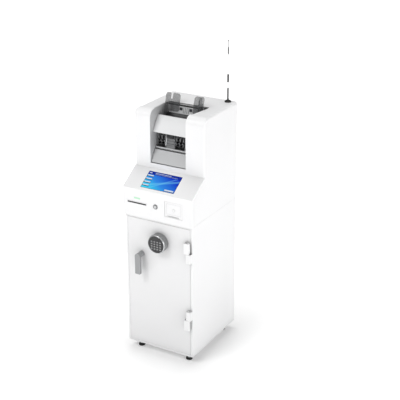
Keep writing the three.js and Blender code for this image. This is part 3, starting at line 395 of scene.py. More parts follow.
# ---- Making pieces ----
def piece_from(name, bm, material, body, replaced=(), edge=0.0, sharp=35.0, slot=None):
    """One visible piece from a bmesh, riding on a body; edge is its softened edges' width in mm."""
    bmesh.ops.recalc_face_normals(bm, faces=bm.faces)
    mesh = bpy.data.meshes.new(name)
    bm.to_mesh(mesh)
    bm.free()
    for polygon in mesh.polygons:
        polygon.use_smooth = True
    mesh.set_sharp_from_angle(angle=math.radians(sharp))
    mesh.materials.append(MATERIALS[material])
    piece = add_object(name, mesh)
    if edge:
        bevel = piece.modifiers.new("soft_edge", "BEVEL")
        bevel.width = edge * MM
        bevel.segments = 2
        bevel.limit_method = "ANGLE"
        bevel.angle_limit = math.radians(sharp)
        bevel.harden_normals = True
    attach(piece, body)
    if replaced:
        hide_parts(*replaced)
    return piece


def refined(node, edge=0.5, material=None, sharp=32.0):
    """The CAD node's own shape, welded, with its edges softened."""
    bm = bmesh.new()
    bm.from_mesh(NODES[node].data)
    bmesh.ops.remove_doubles(bm, verts=bm.verts, dist=1e-6)
    bmesh.ops.dissolve_limit(bm, angle_limit=math.radians(0.5), verts=bm.verts, edges=bm.edges)
    material = material or MATERIAL_OF_SLOT[SLOT_OF[node]]
    return piece_from(f"{node}_skin", bm, material, BODY_OF[node], (node,), edge, sharp, SLOT_OF[node])


def recolour(piece, material, test):
    """Gives the faces whose centre passes the test a second material."""
    piece.data.materials.append(MATERIALS[material])
    for polygon in piece.data.polygons:
        if test(polygon.center):
            polygon.material_index = 1


def turned(bm, profile, origin, axis, steps=64):
    """Adds a solid of revolution; the profile is (radius, height) in mm, from the axis back to the axis."""
    turn = Vector(axis).to_track_quat("Z", "Y").to_matrix().to_4x4()
    place = Matrix.Translation(Vector(origin)) @ turn
    rings = []
    for radius, height in profile:
        if radius == 0:
            rings.append([bm.verts.new(place @ Vector((0, 0, height * MM)))])
            continue
        ring = []
        for i in range(steps):
            angle = 2 * math.pi * i / steps
            point = Vector((radius * math.cos(angle), radius * math.sin(angle), height)) * MM
            ring.append(bm.verts.new(place @ point))
        rings.append(ring)
    for low, high in zip(rings, rings[1:]):
        for i in range(steps):
            j = (i + 1) % steps
            if len(low) == 1:
                bm.faces.new((low[0], high[i], high[j]))
            elif len(high) == 1:
                bm.faces.new((low[i], low[j], high[0]))
            else:
                bm.faces.new((low[i], low[j], high[j], high[i]))
    return bm


def turned_ring(bm, profile, origin, axis, steps=64):
    """Adds a ring of revolution whose profile is a closed outline that stays off the axis."""
    turned(bm, [*profile, profile[0]], origin, axis, steps)
    bmesh.ops.remove_doubles(bm, verts=bm.verts, dist=1e-7)
    return bm


def slab(bm, outline, depth0, depth1, place):
    """Adds an extruded outline; (u, v) in mm at two depths w in mm, mapped by the matrix place."""
    low = [bm.verts.new(place @ (Vector((u, v, depth0)) * MM)) for u, v in outline]
    high = [bm.verts.new(place @ (Vector((u, v, depth1)) * MM)) for u, v in outline]
    bm.faces.new(low)
    bm.faces.new(high)
    count = len(outline)
    for i in range(count):
        j = (i + 1) % count
        bm.faces.new((low[i], low[j], high[j], high[i]))
    return bm


def frame_slab(bm, outer, inner, depth0, depth1, place):
    """Adds an extruded frame between two outlines with as many points each."""
    loops = []
    for outline in (outer, inner):
        for depth in (depth0, depth1):
            loops.append([bm.verts.new(place @ (Vector((u, v, depth)) * MM)) for u, v in outline])
    outer_low, outer_high, inner_low, inner_high = loops
    count = len(outer)
    for i in range(count):
        j = (i + 1) % count
        bm.faces.new((outer_low[i], outer_low[j], outer_high[j], outer_high[i]))
        bm.faces.new((inner_low[i], inner_high[i], inner_high[j], inner_low[j]))
        bm.faces.new((outer_low[i], inner_low[i], inner_low[j], outer_low[j]))
        bm.faces.new((outer_high[i], outer_high[j], inner_high[j], inner_high[i]))
    return bm


def turned_piece(name, profile, origin, axis, steps, material, body, **finish):
    return piece_from(name, turned(bmesh.new(), profile, origin, axis, steps), material, body, **finish)


def slab_piece(name, outline, depth0, depth1, place, material, body, **finish):
    return piece_from(name, slab(bmesh.new(), outline, depth0, depth1, place), material, body, **finish)


def bar(bm, x, y, z):
    """Adds a box between pairs of limits in mm, in the object's frame."""
    ends = (0, 1)
    corners = [bm.verts.new(Vector((x[i], y[j], z[k])) * MM) for i in ends for j in ends for k in ends]
    for face in ((0, 1, 3, 2), (4, 6, 7, 5), (0, 4, 5, 1), (2, 3, 7, 6), (0, 2, 6, 4), (1, 5, 7, 3)):
        bm.faces.new([corners[i] for i in face])
    return bm


def split_long_faces(bm):
    """Cuts the faces of many corners into triangles, so that a hollow outline keeps its shape."""
    bmesh.ops.triangulate(bm, faces=[face for face in bm.faces if len(face.verts) > 4])


def tube(bm, points, radius, sides=14):
    """Adds a round bar of that radius in mm along points in metres, with closed ends."""
    path = [Vector(p) for p in points]
    rings = []
    side = None
    for i, point in enumerate(path):
        along = (path[min(i + 1, len(path) - 1)] - path[max(i - 1, 0)]).normalized()
        side = along.orthogonal() if side is None else side - along * side.dot(along)
        side.normalize()
        across = along.cross(side)
        turns = [2 * math.pi * k / sides for k in range(sides)]
        spokes = [side * math.cos(t) + across * math.sin(t) for t in turns]
        rings.append([bm.verts.new(point + spoke * radius * MM) for spoke in spokes])
    for low, high in zip(rings, rings[1:]):
        for k in range(sides):
            bm.faces.new((low[k], low[(k + 1) % sides], high[(k + 1) % sides], high[k]))
    bm.faces.new(rings[0])
    bm.faces.new(rings[-1])
    return bm


def rounded(u0, u1, v0, v1, radius, steps=6):
    """A rounded rectangle's outline."""
    corners = [
        (u1 - radius, v0 + radius, -90),
        (u1 - radius, v1 - radius, 0),
        (u0 + radius, v1 - radius, 90),
        (u0 + radius, v0 + radius, 180),
    ]
    points = []
    for u, v, start in corners:
        for i in range(steps + 1):
            angle = math.radians(start + 90 * i / steps)
            points.append((u + radius * math.cos(angle), v + radius * math.sin(angle)))
    return points


def screws(name, places, axis, radius, body):
    """A group of pan-head screws with round sockets, standing on the given points."""
    rim = [(0, -0.4), (1, -0.4), (1, 0.25), (0.85, 0.5)]
    socket = [(0.5, 0.6), (0.44, 0.55), (0.44, 0.15), (0, 0.15)]
    head = rim + socket
    bm = bmesh.new()
    for place in places:
        turned(bm, [(r * radius, h * radius if h > 0 else h) for r, h in head], place, axis, 20)
    piece_from(name, bm, "brushed_steel", body)


def facing_front(x, y, z):
    """Plane whose u is +X, v is +Z and w points out of the front, towards -Y."""
    return Matrix.Translation((x, y, z)) @ Matrix(((1, 0, 0, 0), (0, 0, -1, 0), (0, 1, 0, 0), (0, 0, 0, 1)))


def facing_back(x, y, z):
    """Plane whose u is -X, v is +Z and w points out of the back, towards +Y."""
    return Matrix.Translation((x, y, z)) @ Matrix(((-1, 0, 0, 0), (0, 0, 1, 0), (0, 1, 0, 0), (0, 0, 0, 1)))


def facing_side(x, y, z):
    """Plane whose u is +Y, v is +Z and w is +X."""
    return Matrix.Translation((x, y, z)) @ Matrix(((0, 0, 1, 0), (1, 0, 0, 0), (0, 1, 0, 0), (0, 0, 0, 1)))


def on_console():
    """Plane of the console's slope: u is +X, v runs up the slope and w points out of it."""
    upright = facing_front(0, 0, 0)
    laid_back = Matrix.Rotation(CONSOLE_ANGLE - math.pi / 2, 4, "X")
    return Matrix.Translation((0, PANEL_FRONT, PANEL_TOP)) @ laid_back @ upright


def on_hopper():
    """Plane of the hopper's leaning plate: u is +X, v runs up the plate and w points out of its face."""
    return Matrix.Translation(HOPPER_FOOT) @ Matrix.Rotation(-HOPPER_LEAN, 4, "X") @ facing_front(0, 0, 0)


def centre_of(node):
    low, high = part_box(node)
    return (low + high) / 2


# ---- Safe ----
def make_safe():
    refined("safe_shell", 1.2)
    # The door wears a darker copy of the powder coat: painted shade.
    refined("safe_door", 1.0, "door_coat_painted_shade")
    refined("lock_case", 1.0)
    refined("bolt_bar", 0.6)
    refined("cash_cassette", 0.8)
    refined("safe_handle", 1.6)
    make_door_back()
    make_cassette_handle()


def make_hinges():
    """Hinge blocks, with a cap on the pin where it comes out of the upper block of each pair."""
    cap = [(0, 0), (5.2, 0), (5.2, 1.2), (4.4, 2.2), (0, 2.5)]
    pin_inset, pin_standoff = 10 * MM, 11.5 * MM
    pairs = (("upper", "door_hinge_upper", "door"), ("lower", "body_hinge_lower", "root"))
    for level, upper_block, body in pairs:
        # The hinge blocks carry the strongest painted shade in corners and along seams.
        refined(f"door_hinge_{level}", 1.4, "hinge_coat_painted_shade")
        refined(f"body_hinge_{level}", 1.4, "hinge_coat_painted_shade")
        pin_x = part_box(f"door_hinge_{level}")[1].x - pin_inset
        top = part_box(upper_block)[1].z
        bm = turned(bmesh.new(), cap, (pin_x, FRONT - pin_standoff, top), (0, 0, 1), 32)
        piece_from(f"pin_cap_{level}", bm, "moulded_pale", body)


def make_door_back():
    """What the door carries inside: a folded stiffener, guides for the bolts and the lock's screws."""
    low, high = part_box("safe_door")
    side_margin, end_margin, width = 11, 12, 12
    reach_x = high.x / MM - side_margin
    z0, z1 = low.z / MM + end_margin, high.z / MM - end_margin
    outer = rounded(-reach_x, reach_x, z0, z1, 3)
    inner = rounded(-reach_x + width, reach_x - width, z0 + width, z1 - width, 3)
    bm = frame_slab(bmesh.new(), outer, inner, -9, -6, facing_front(0, FRONT, 0))
    piece_from("door_stiffener", bm, "powder_coat", "door", edge=0.6)

    bolt_low, bolt_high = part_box("bolt_bar")
    bolt_y = (bolt_low.y + bolt_high.y) / 2
    bolt_heights = [SAFE_FOOT + h * MM for h in (250, 450, 650)]
    thick = 3.6
    bush = [(7.6, 0), (10.6, 0), (10.6, thick), (7.6, thick)]
    left = -186.8
    strip_over = 14
    bm = bmesh.new()
    for z in bolt_heights:
        turned_ring(bm, bush, (left * MM, bolt_y, z), (1, 0, 0), 32)
    strip_z = [bolt_heights[0] / MM - strip_over, bolt_heights[-1] / MM + strip_over]
    bar(bm, (left, left + thick), (FRONT / MM + 6.1, FRONT / MM + 8.6), strip_z)
    piece_from("bolt_guides", bm, "brushed_steel", "door", edge=0.3)

    case_low, case_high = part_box("lock_case")
    inset = 6 * MM
    corners = [(x, case_high.y, z) for x in (case_low.x + inset, case_high.x - inset)
               for z in (case_low.z + inset, case_high.z - inset)]
    screws("lock_case_screws", corners, (0, 1, 0), 2.8, "door")


def make_cassette_handle():
    """A bent bar on a plate, on the cassette's front."""
    low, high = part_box("cash_cassette")
    z = high.z - 130 * MM
    reach, half, bend = 24 * MM, 52 * MM, 10 * MM
    front = low.y - reach + bend
    points = [(-half, low.y + 1 * MM, z), (-half, front, z)]
    for i in range(7):
        angle = math.radians(90 * i / 6)
        points.append((-half + bend - bend * math.cos(angle), front - bend * math.sin(angle), z))
    mirrored = [(-x, y, height) for x, y, height in reversed(points)]
    piece_from("cassette_handle", tube(bmesh.new(), points + mirrored, 4.0), "brushed_steel", "root")
    plate = rounded(-70, 70, -16, 16, 5)
    bm = slab(bmesh.new(), plate, 0.05, 1.6, facing_front(0, low.y, z))
    piece_from("cassette_handle_plate", bm, "galvanised", "root", edge=0.4)


def make_foot(node):
    """Levelling foot: a rubber pad, a threaded stud and a hexagonal nut under the safe."""
    low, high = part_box(node)
    middle = (low + high) / 2
    centre = (middle.x, middle.y, 0.0)
    pad_base = [(0, 0), (16.4, 0), (17.4, 0.6), (18, 1.8), (18, 6.5), (17.4, 8.4)]
    pad = pad_base + [(15.6, 10), (12.4, 11.4), (11, 12.4), (0, 12.4)]
    bm = turned(bmesh.new(), pad, centre, (0, 0, 1), 72)
    piece_from(f"{node}_pad", bm, "black_rubber", "root", (node,), sharp=50.0)
    nut_foot = 38.0
    stem = [(0, 12.5), (9.5, 12.5), (9.5, 17.5), (8.9, 18), (5.2, 18)]
    turns, pitch = 13, 1.5
    for i in range(turns):
        height = 18.4 + i * pitch
        stem += [(6.0, height), (5.3, height + pitch / 2)]
    stem += [(5.3, nut_foot), (0, nut_foot)]
    turned_piece(f"{node}_stud", stem, centre, (0, 0, 1), 36, "brushed_steel", "root", sharp=40.0)
    nut_radius = 13.5
    corners = [math.radians(60 * i) for i in range(6)]
    hexagon = [(nut_radius * math.cos(t), nut_radius * math.sin(t)) for t in corners]
    bm = slab(bmesh.new(), hexagon, nut_foot, high.z / MM - 0.2, Matrix.Translation(centre))
    piece_from(f"{node}_nut", bm, "brushed_steel", "root", edge=0.6)


def make_feet():
    for node in ("foot_front_left", "foot_front_right", "foot_rear_left", "foot_rear_right"):
        make_foot(node)


# ---- Keypad ----
LEGENDS = "123A456B789C*0#D"
LEGEND = {"size": 7.4 * MM, "extrude": 0.04 * MM, "proud": 0.03 * MM}


def make_keypad():
    """The electronic lock: a drum with a bright ring, its face, sixteen keys and two lamps."""
    low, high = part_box("keypad_drum")
    middle = centre_of("keypad_drum")
    depth = (high.y - low.y) / MM
    origin = (middle.x, high.y, middle.z)
    radius = (high.x - low.x) / 2 / MM
    well = 46.4
    step = depth - 5.0  # the ring lies on this step
    body = [(0, 0), (radius, 0), (radius, depth - 8.4)]
    groove = [(radius - 1.0, depth - 8.0), (radius - 1.0, depth - 7.2), (radius - 0.4, depth - 6.8)]
    mouth = [(radius - 1.4, step), (well, step), (well, depth - 8.7), (0, depth - 8.7)]
    bm = turned(bmesh.new(), body + groove + mouth, origin, (0, -1, 0), 96)
    piece_from("keypad_drum_skin", bm, "metallic_grey", "door", ("keypad_drum",), edge=0.3, sharp=30.0)
    ring_foot = [(well + 0.2, step + 0.1), (radius - 1.4, step + 0.1), (radius - 2.6, depth - 1.4)]
    ring_head = [(radius - 3.9, depth - 0.2), (radius - 4.3, depth), (well + 0.2, depth - 0.6)]
    bm = turned_ring(bmesh.new(), ring_foot + ring_head, origin, (0, -1, 0), 96)
    piece_from("keypad_ring", bm, "bright_ring", "door", edge=0.2, sharp=30.0)
    refined("keypad_face", 0.35)
    for index, legend in enumerate(LEGENDS):
        make_key(f"key_row{index // 4 + 1}_col{index % 4 + 1}", legend)
    lens = [(0, 0), (2.0, 0), (1.9, 0.5), (1.2, 0.9), (0, 1.0)]
    face_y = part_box("keypad_face")[0].y
    lamp_z = middle.z + 31.5 * MM
    for name, offset, colour in (("green", -20.0, "green_glow"), ("red", 14.0, "red_glow")):
        bm = turned(bmesh.new(), lens, (middle.x + offset * MM, face_y, lamp_z), (0, -1, 0), 24)
        piece_from(f"keypad_led_{name}", bm, colour, "door")


def make_key(node, legend):
    """One key, with its legend standing a little out of its face."""
    refined(node, 0.7)
    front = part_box(node)[0].y
    middle = centre_of(node)
    curve = bpy.data.curves.new(f"{node}_legend", "FONT")
    curve.body = legend
    curve.size = LEGEND["size"]
    curve.align_x = "CENTER"
    curve.align_y = "CENTER"
    curve.extrude = LEGEND["extrude"]
    text = add_object("legend_source", curve)
    bpy.context.view_layer.update()
    mesh = bpy.data.meshes.new_from_object(text)
    bpy.data.objects.remove(text)
    bm = bmesh.new()
    bm.from_mesh(mesh)
    bpy.data.meshes.remove(mesh)
    bm.transform(facing_front(middle.x, front - LEGEND["proud"], middle.z))
    piece_from(f"{node}_legend", bm, "white_mark", BODY_OF[node])


# ---- Console ----
def make_console():
    refined("console_fascia", 1.2)
    refined("display_module", 1.0)
    make_screen()
    make_slip_slot()
    make_key_lock()
    make_printer()


GLASS_THICKNESS = 2.2
LAYER = 0.04  # how far each layer of the lit picture stands over the one below it


def screen_limits():
    """The glass's middle and half width, and its middle and half height along the slope, in mm."""
    low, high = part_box("touch_glass")
    half_width = (high.x - low.x) / 2 / MM
    rise = (high.z - low.z) / MM - GLASS_THICKNESS * math.cos(CONSOLE_ANGLE)
    half_height = rise / math.sin(CONSOLE_ANGLE) / 2
    top = (high.z - PANEL_TOP) / MM / math.sin(CONSOLE_ANGLE)
    return (low.x + high.x) / 2 / MM, half_width, top - half_height, half_height


def make_screen():
    """Black-edged glass with a lit picture: a title bar, four buttons on the left, one at the lower right."""
    middle, half_width, along, half_height = screen_limits()
    refined("touch_glass", 0.4)
    plane = on_console()
    left, right = middle - half_width, middle + half_width
    foot, head = along - half_height, along + half_height
    rim = 1.6

    def plate(name, u, v, material, level, radius=0.8):
        bm = slab(bmesh.new(), rounded(*u, *v, radius, 3), 0.0, LAYER * level, plane)
        piece_from(name, bm, material, "root")

    inside = (left + rim, right - rim)
    plate("screen_picture", inside, (foot + rim, head - rim), "lit_screen", 1)
    bar_foot = head - rim - 19.0
    plate("screen_title_bar", inside, (bar_foot, head - rim), "title_blue", 2)
    plate("screen_title_mark", (left + 8, left + 22), (head - 13, head - 8), "button_white", 3)
    plate("screen_title_line", (left + 42, right - 62), (head - 10, head - 7.5), "button_white", 3)
    plate("screen_title_underline", (left + 42, right - 22), (head - 16, head - 15), "button_white", 3)
    buttons, pitch, round_corner = 4, 20.5, 2.0

    def button(name, u, v, edge_u, edge_v):
        plate(f"{name}_edge", edge_u, edge_v, "shadow_blue", 2, round_corner)
        plate(name, u, v, "button_white", 3, round_corner)

    for i in range(buttons):
        top = bar_foot - 3 - i * pitch
        u, edge_u = (inside[0] + 1, left + 39), (inside[0], left + 41)
        button(f"screen_button_{i + 1}", u, (top - 7, top), edge_u, (top - 11, top - 2))
    u, edge_u = (right - 60, right - 7), (right - 61, right - 5)
    button("screen_button_back", u, (foot + 6.5, foot + 15), edge_u, (foot + 4, foot + 14))


def make_slip_slot():
    """The slot's bezel, a dark lining in its mouth, a reader behind it and a pale mark above; the dark of the
    lining and of the reader is partly painted shade inside the slot.
    """
    refined("slip_slot_bezel", 0.5)
    low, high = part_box("slip_slot_bezel")
    middle = (low + high) / 2
    place = facing_front(middle.x, low.y, middle.z)
    throat = rounded(-54.2, 54.2, -1.7, 1.7, 1.3)
    depth = 21
    bm = frame_slab(bmesh.new(), rounded(-54.9, 54.9, -2.4, 2.4, 1.9), throat, -depth, 0.0, place)
    frame_slab(bm, rounded(-56, 56, -3.5, 3.5, 2.6), throat, 0.05, 0.5, place)
    # Painted shade, in part: the dark lining and the dark reader behind it stand in for the shade inside the
    # slot.
    piece_from("slip_slot_lining", bm, "dark_plastic", "root")
    half_width, half_height, half_gap = 58, 20, 2.2
    x = (middle.x / MM - half_width, middle.x / MM + half_width)
    y = (high.y / MM + 0.5, high.y / MM + 46)
    z = middle.z / MM
    bm = bar(bmesh.new(), x, y, (z + half_gap, z + half_height))
    bar(bm, x, y, (z - half_height, z - half_gap))
    bar(bm, x, (y[1] + 0.2, y[1] + 8), (z - half_height, z + half_height))
    piece_from("slip_reader", bm, "dark_plastic", "root", edge=1.0)
    mark_at = facing_front(-119.5 * MM, PANEL_FRONT, SEAM + 103 * MM)
    slab_piece("slip_mark", rounded(-19, 19, -4.5, 4.5, 4.2), 0, 0.35, mark_at, "pale_green", "root")


def make_key_lock():
    """Key lock: a rolled metal collar round a slotted plug."""
    low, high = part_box("lock_barrel")
    middle = (low + high) / 2
    length = (high.y - PANEL_FRONT) / MM
    bore, outside = 8.3, 12.6
    sleeve = [(bore, -length), (outside, -length), (outside, 0.1)]
    roll = [(13.0, 0.5), (13.0, 1.6), (12.4, 2.6), (11.2, 3.0), (10.2, 2.5), (9.4, 1.4), (bore, 1.2)]
    bm = turned_ring(bmesh.new(), sleeve + roll, (middle.x, PANEL_FRONT, middle.z), (0, -1, 0), 64)
    piece_from("lock_barrel_skin", bm, "metallic_grey", "root", ("lock_barrel",), sharp=30.0)
    refined("lock_plug", 0.3, "bright_ring")


def make_printer():
    """Receipt printer: its body, a door with a raised inner border, the release button and the paper path."""
    refined("printer_body", 0.6)
    refined("printer_door", 0.7)
    refined("printer_button", 0.6, "moulded_pale")
    low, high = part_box("printer_door")
    middle = (low + high) / 2
    half_width, half_height = (high.x - low.x) / 2 / MM, (high.z - low.z) / 2 / MM
    outer = rounded(-half_width + 10, half_width - 10, -half_height + 15, half_height - 9, 4)
    inner = rounded(-half_width + 11.6, half_width - 11.6, -half_height + 16.6, half_height - 10.6, 3)
    bm = frame_slab(bmesh.new(), outer, inner, 0.0, 0.9, facing_front(middle.x, low.y, middle.z))
    piece_from("printer_door_border", bm, "moulded_white", "receipt_door", edge=0.3)
    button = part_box("printer_button")
    button_y, button_z = button[0].y, (button[0].z + button[1].z) / 2
    groove = [(7.6, -0.2), (10.2, -0.2), (10.2, 0.5), (9.6, 0.9), (8.2, 0.9), (7.6, 0.5)]
    bm = turned_ring(bmesh.new(), groove, (middle.x, low.y, button_z), (0, -1, 0), 48)
    piece_from("printer_button_collar", bm, "moulded_white", "receipt_door")
    cap = [(0, 0), (5.2, 0), (5.0, 0.3), (2.6, 0.45), (0, 0.5)]
    bm = turned(bmesh.new(), cap, (middle.x, button_y, button_z), (0, -1, 0), 40)
    piece_from("printer_button_cap", bm, "moulded_white", "receipt_button")

    make_paper_path(low, high)


def make_paper_path(door_low, door_high):
    """What lies behind the printer's door: tear bar, paper roll, its spindle and the platen."""
    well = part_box("printer_body")
    middle = (door_low + door_high) / 2
    slit_foot = door_low.z / MM + 3
    x = (door_low.x / MM + 12, door_high.x / MM - 16)
    y = (door_high.y / MM + 0.6, door_high.y / MM + 3)
    bm = bar(bmesh.new(), x, y, (slit_foot, slit_foot + 4.6))
    piece_from("printer_tear_bar", bm, "moulded_pale", "root", edge=0.5)
    roll_at = (middle.x, well[0].y + 34 * MM, middle.z + 8 * MM)
    half = 40.0
    roll = [(6, -half), (26, -half), (26.3, -half + 0.6), (26.3, half - 0.6), (26, half), (6, half)]
    bm = turned_ring(bmesh.new(), roll, roll_at, (1, 0, 0), 64)
    piece_from("paper_roll", bm, "paper", "root")
    end = half + 9
    spindle = [(0, -end), (5.6, -end), (5.6, end), (0, end)]
    turned_piece("paper_spindle", spindle, roll_at, (1, 0, 0), 28, "dark_plastic", "root")
    pivot = half + 4
    tyre = [(2, -half), (6, -half), (6, half), (2, half)]
    platen = [(0, -pivot), (2, -pivot), *tyre, (2, pivot), (0, pivot)]
    platen_at = (middle.x, well[0].y + 10 * MM, middle.z - 31 * MM)
    turned_piece("printer_platen", platen, platen_at, (1, 0, 0), 32, "black_rubber", "root")


# ---- Housing ----
def make_housing():
    refined("housing_shell", 0.7)
    refined("head_fascia", 1.2)
    refined("drop_chute", 0.4)
    make_rear()
    make_antenna()
    make_control_unit()


def make_rear():
    """Rear panel with its screws, and the service door's hinges and lock."""
    refined("rear_panel", 0.5)
    refined("rear_door", 0.5)
    low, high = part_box("rear_door")
    hinge_heights = (low.z + 60 * MM, high.z - 100 * MM)
    knuckle = [(0, 0), (3.2, 0), (3.2, 19.6), (0, 19.6)]
    for body, shift in (("root", 0.0), ("service_door", 20.0)):
        bm = bmesh.new()
        for z in hinge_heights:
            turned(bm, knuckle, (high.x, BACK, z + shift * MM), (0, 0, 1), 24)
        piece_from(f"rear_hinge_{body}", bm, "brushed_steel", body, edge=0.4)
    lock = [(0, -0.2), (11, -0.2), (11, 1.4), (10, 2.4), (7.4, 2.6), (7.0, 1.8), (0, 1.8)]
    lock_at = (low.x + 18 * MM, BACK, (low.z + high.z) / 2)
    turned_piece("rear_door_lock", lock, lock_at, (0, 1, 0), 40, "bright_ring", "service_door")
    slit = rounded(-0.8, 0.8, -4, 4, 0.7, 3)
    # Painted shade: a dark slab on the lock's face stands in for its keyway.
    slab_piece("rear_door_keyway_painted_shade", slit, 1.85, 2.05, facing_back(*lock_at), "dark_plastic", "service_door")
    edge = SIDE - 15 * MM
    heights = (SEAM + 18 * MM, lock_at[2], HEAD_TOP - 22 * MM)
    places = [(x, BACK, z) for x in (-edge, edge) for z in heights]
    screws("rear_panel_screws", places, (0, 1, 0), 3.6, "root")
    make_inlet()


def make_inlet():
    """The power inlet, with bright pins in its socket and a flange round its mouth."""
    inlet = refined("power_inlet", 0.4)
    place = centre_of("power_inlet")
    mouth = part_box("power_inlet")[1].y
    pins_foot, pins_head = mouth - 17.3 * MM, mouth - 5 * MM

    def is_pin(point):
        near = abs(point.x - place.x) < 7.5 * MM and abs(point.z - place.z) < 3 * MM
        return near and pins_foot < point.y < pins_head

    recolour(inlet, "brushed_steel", is_pin)
    outer = rounded(-17.5, 17.5, -15, 15, 3)
    inner = rounded(-13.6, 13.6, -11.6, 11.6, 2)
    bm = frame_slab(bmesh.new(), outer, inner, 0.05, 2.0, facing_back(place.x, BACK, place.z))
    piece_from("inlet_flange", bm, "dark_plastic", "root", edge=0.4)


def make_antenna():
    """A magnetic foot and a whip in sections: rod, collar, loading coil, thin rod, sleeve and tip."""
    low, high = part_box("antenna")
    axis = ((low.x + high.x) / 2, (low.y + high.y) / 2, HEAD_TOP)

    def section(name, profile, material, replaced=()):
        piece_from(name, turned(bmesh.new(), profile, axis, (0, 0, 1), 40), material, "root", replaced)

    magnet = [(0, 0.3), (16.4, 0.3), (17, 0.9), (17, 4.4), (16.2, 5.6)]
    shoulder = [(13, 8.6), (8.5, 10.6), (5.4, 13), (4.4, 16), (0, 16)]
    section("antenna_foot", magnet + shoulder, "black_rubber", ("antenna",))
    section("antenna_rod_lower", [(0, 16), (4.6, 16), (4.1, 20), (4.0, 74), (0, 74)], "dark_plastic")
    section("antenna_collar", [(0, 74), (2.1, 74), (2.1, 105.5), (0, 105.5)], "bright_ring")
    crest, trough = 4.6, 4.2
    coil = [(0, 105.6), (3.2, 105.6), (crest, 107)]
    turns, pitch = 12, 3.0
    for i in range(turns):
        height = 108 + i * pitch
        coil += [(crest, height), (trough, height + 0.7), (crest, height + 1.4)]
    coil += [(crest, 145), (2.0, 147.5), (0, 147.5)]
    section("antenna_coil", coil, "black_rubber")
    section("antenna_rod_thin", [(0, 147.6), (1.2, 147.6), (1.2, 252.5), (0, 252.5)], "bright_ring")
    sleeve = [(0, 252.6), (2.2, 252.6), (2.6, 254), (2.6, 286), (2.0, 288), (0, 288)]
    section("antenna_sleeve", sleeve, "black_rubber")
    stem = [(0, 288.1), (0.9, 288.1), (0.9, 318)]
    bead = [(1.9, 319), (2.6, 321), (2.5, 323), (1.5, 324.6), (0, 325)]
    section("antenna_tip", stem + bead, "dark_plastic")


def make_control_unit():
    """Sheet-metal case with connectors in its front recess and a fan grille on its back."""
    refined("control_unit", 1.0, "galvanised")
    low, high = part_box("control_unit")
    recess = low.y / MM + 10
    sockets, pitch, width = 5, 42, 30
    z = (low.z / MM + 30, low.z / MM + 46)
    bm = bmesh.new()
    for i in range(sockets):
        x = low.x / MM + 30 + i * pitch
        bar(bm, (x, x + width), (recess - 7.5, recess - 0.1), z)
    piece_from("control_connectors", bm, "dark_plastic", "root", edge=0.6)
    fan = (0, high.y, (low.z + high.z) / 2)
    rings, spokes = 4, 4
    ring_width, ring_depth = 2, 1.6
    bm = bmesh.new()
    for i in range(rings):
        inside = 8 + i * 8
        outside = inside + ring_width
        ring = [(inside, 0), (outside, 0), (outside, ring_depth), (inside, ring_depth)]
        turned_ring(bm, ring, fan, (0, 1, 0), 48)
    for i in range(spokes):
        turn = Matrix.Rotation(math.radians(180 / spokes * i), 4, "Z")
        slab(bm, rounded(-34, 34, -1.2, 1.2, 0.8, 2), 0.1, 1.5, facing_back(*fan) @ turn)
    piece_from("control_fan_grille", bm, "brushed_steel", "root")


# ---- Banknote counter ----
FINGERS = {"per_wheel": 6, "hub": 12.0, "tip": 31.0, "thick": 5.0}
WHEELS = {"sets": (-80.0, 28.0), "per_set": 3, "pitch": 20.0}
TYRES = {"at": (-48.0, -8.0, 32.0), "half": 8.0, "grooves": 5}


def make_counter():
    refined("counter_wall_left", 0.4)
    refined("counter_wall_right", 0.4)
    refined("stacker_hood", 0.5, "moulded_pale")
    refined("pocket_flap", 0.4)
    make_stacker()
    make_hopper()
    make_guides()
    make_impeller()
    make_roller("pickup_roller")
    make_roller("feed_roller")


def make_stacker():
    """Plate behind the pocket with its sensor and link arm, a lip, and the curved guide behind the wheels."""
    # The stacker plate's dark grey is partly its own colour and partly painted shade.
    refined("stacker_plate", 0.4, "counter_grey_and_painted_shade")
    low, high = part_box("stacker_plate")
    seam = SEAM / MM
    y = HEAD_FRONT / MM + 61
    bm = bar(bmesh.new(), (-46, -6), (y - 9, y - 0.2), (seam + 386, seam + 404))
    bar(bm, (-40, -12), (y - 12, y - 9.2), (seam + 389, seam + 397))
    piece_from("note_sensor", bm, "dark_plastic", "root", edge=0.8)
    arm = [(-57, seam + 344), (-51, seam + 342), (-43, seam + 398), (-49, seam + 401)]
    slab_piece("stacker_link", arm, 2.0, 6.0, facing_front(0, y * MM, 0), "moulded_grey", "root", edge=0.6)
    x = (low.x / MM + 3, high.x / MM - 3)
    bm = bar(bmesh.new(), x, (low.y / MM + 2, low.y / MM + 5), (seam + 329, seam + 335))
    piece_from("stacker_lip", bm, "moulded_grey", "root", edge=0.6)
    axle = centre_of("impeller")
    inside = 36.0
    outside = inside + 2.0
    turns = [math.radians(-70 + 10 * i) for i in range(13)]
    arc = [(inside * math.cos(t), inside * math.sin(t)) for t in turns]
    arc += [(outside * math.cos(t), outside * math.sin(t)) for t in reversed(turns)]
    bm = slab(bmesh.new(), arc, low.x / MM + 2, high.x / MM - 2, facing_side(0, axle.y, axle.z))
    split_long_faces(bm)
    piece_from("stacker_back_guide", bm, "moulded_grey", "root")


def finger_outline():
    """One wheel's outline: each finger sweeps back from the hub and thins towards its tip."""
    step = 2 * math.pi / FINGERS["per_wheel"]
    length = FINGERS["tip"] - FINGERS["hub"]
    sweep, root_width, thinning, samples = 0.95, 0.30, 0.20, 8
    shares = [k / samples for k in range(samples + 1)]
    rise = [(FINGERS["hub"] + length * share, sweep * share**1.3) for share in shares]
    outline = []
    for i in range(FINGERS["per_wheel"]):
        leading = [(radius, i + turn) for radius, turn in rise]
        trailing = [
            (radius - 1.0, i + turn + root_width - thinning * share)
            for share, (radius, turn) in zip(shares, rise)
        ]
        for radius, turn in leading + trailing[::-1]:
            outline.append((radius * math.cos(-turn * step), radius * math.sin(-turn * step)))
    return outline


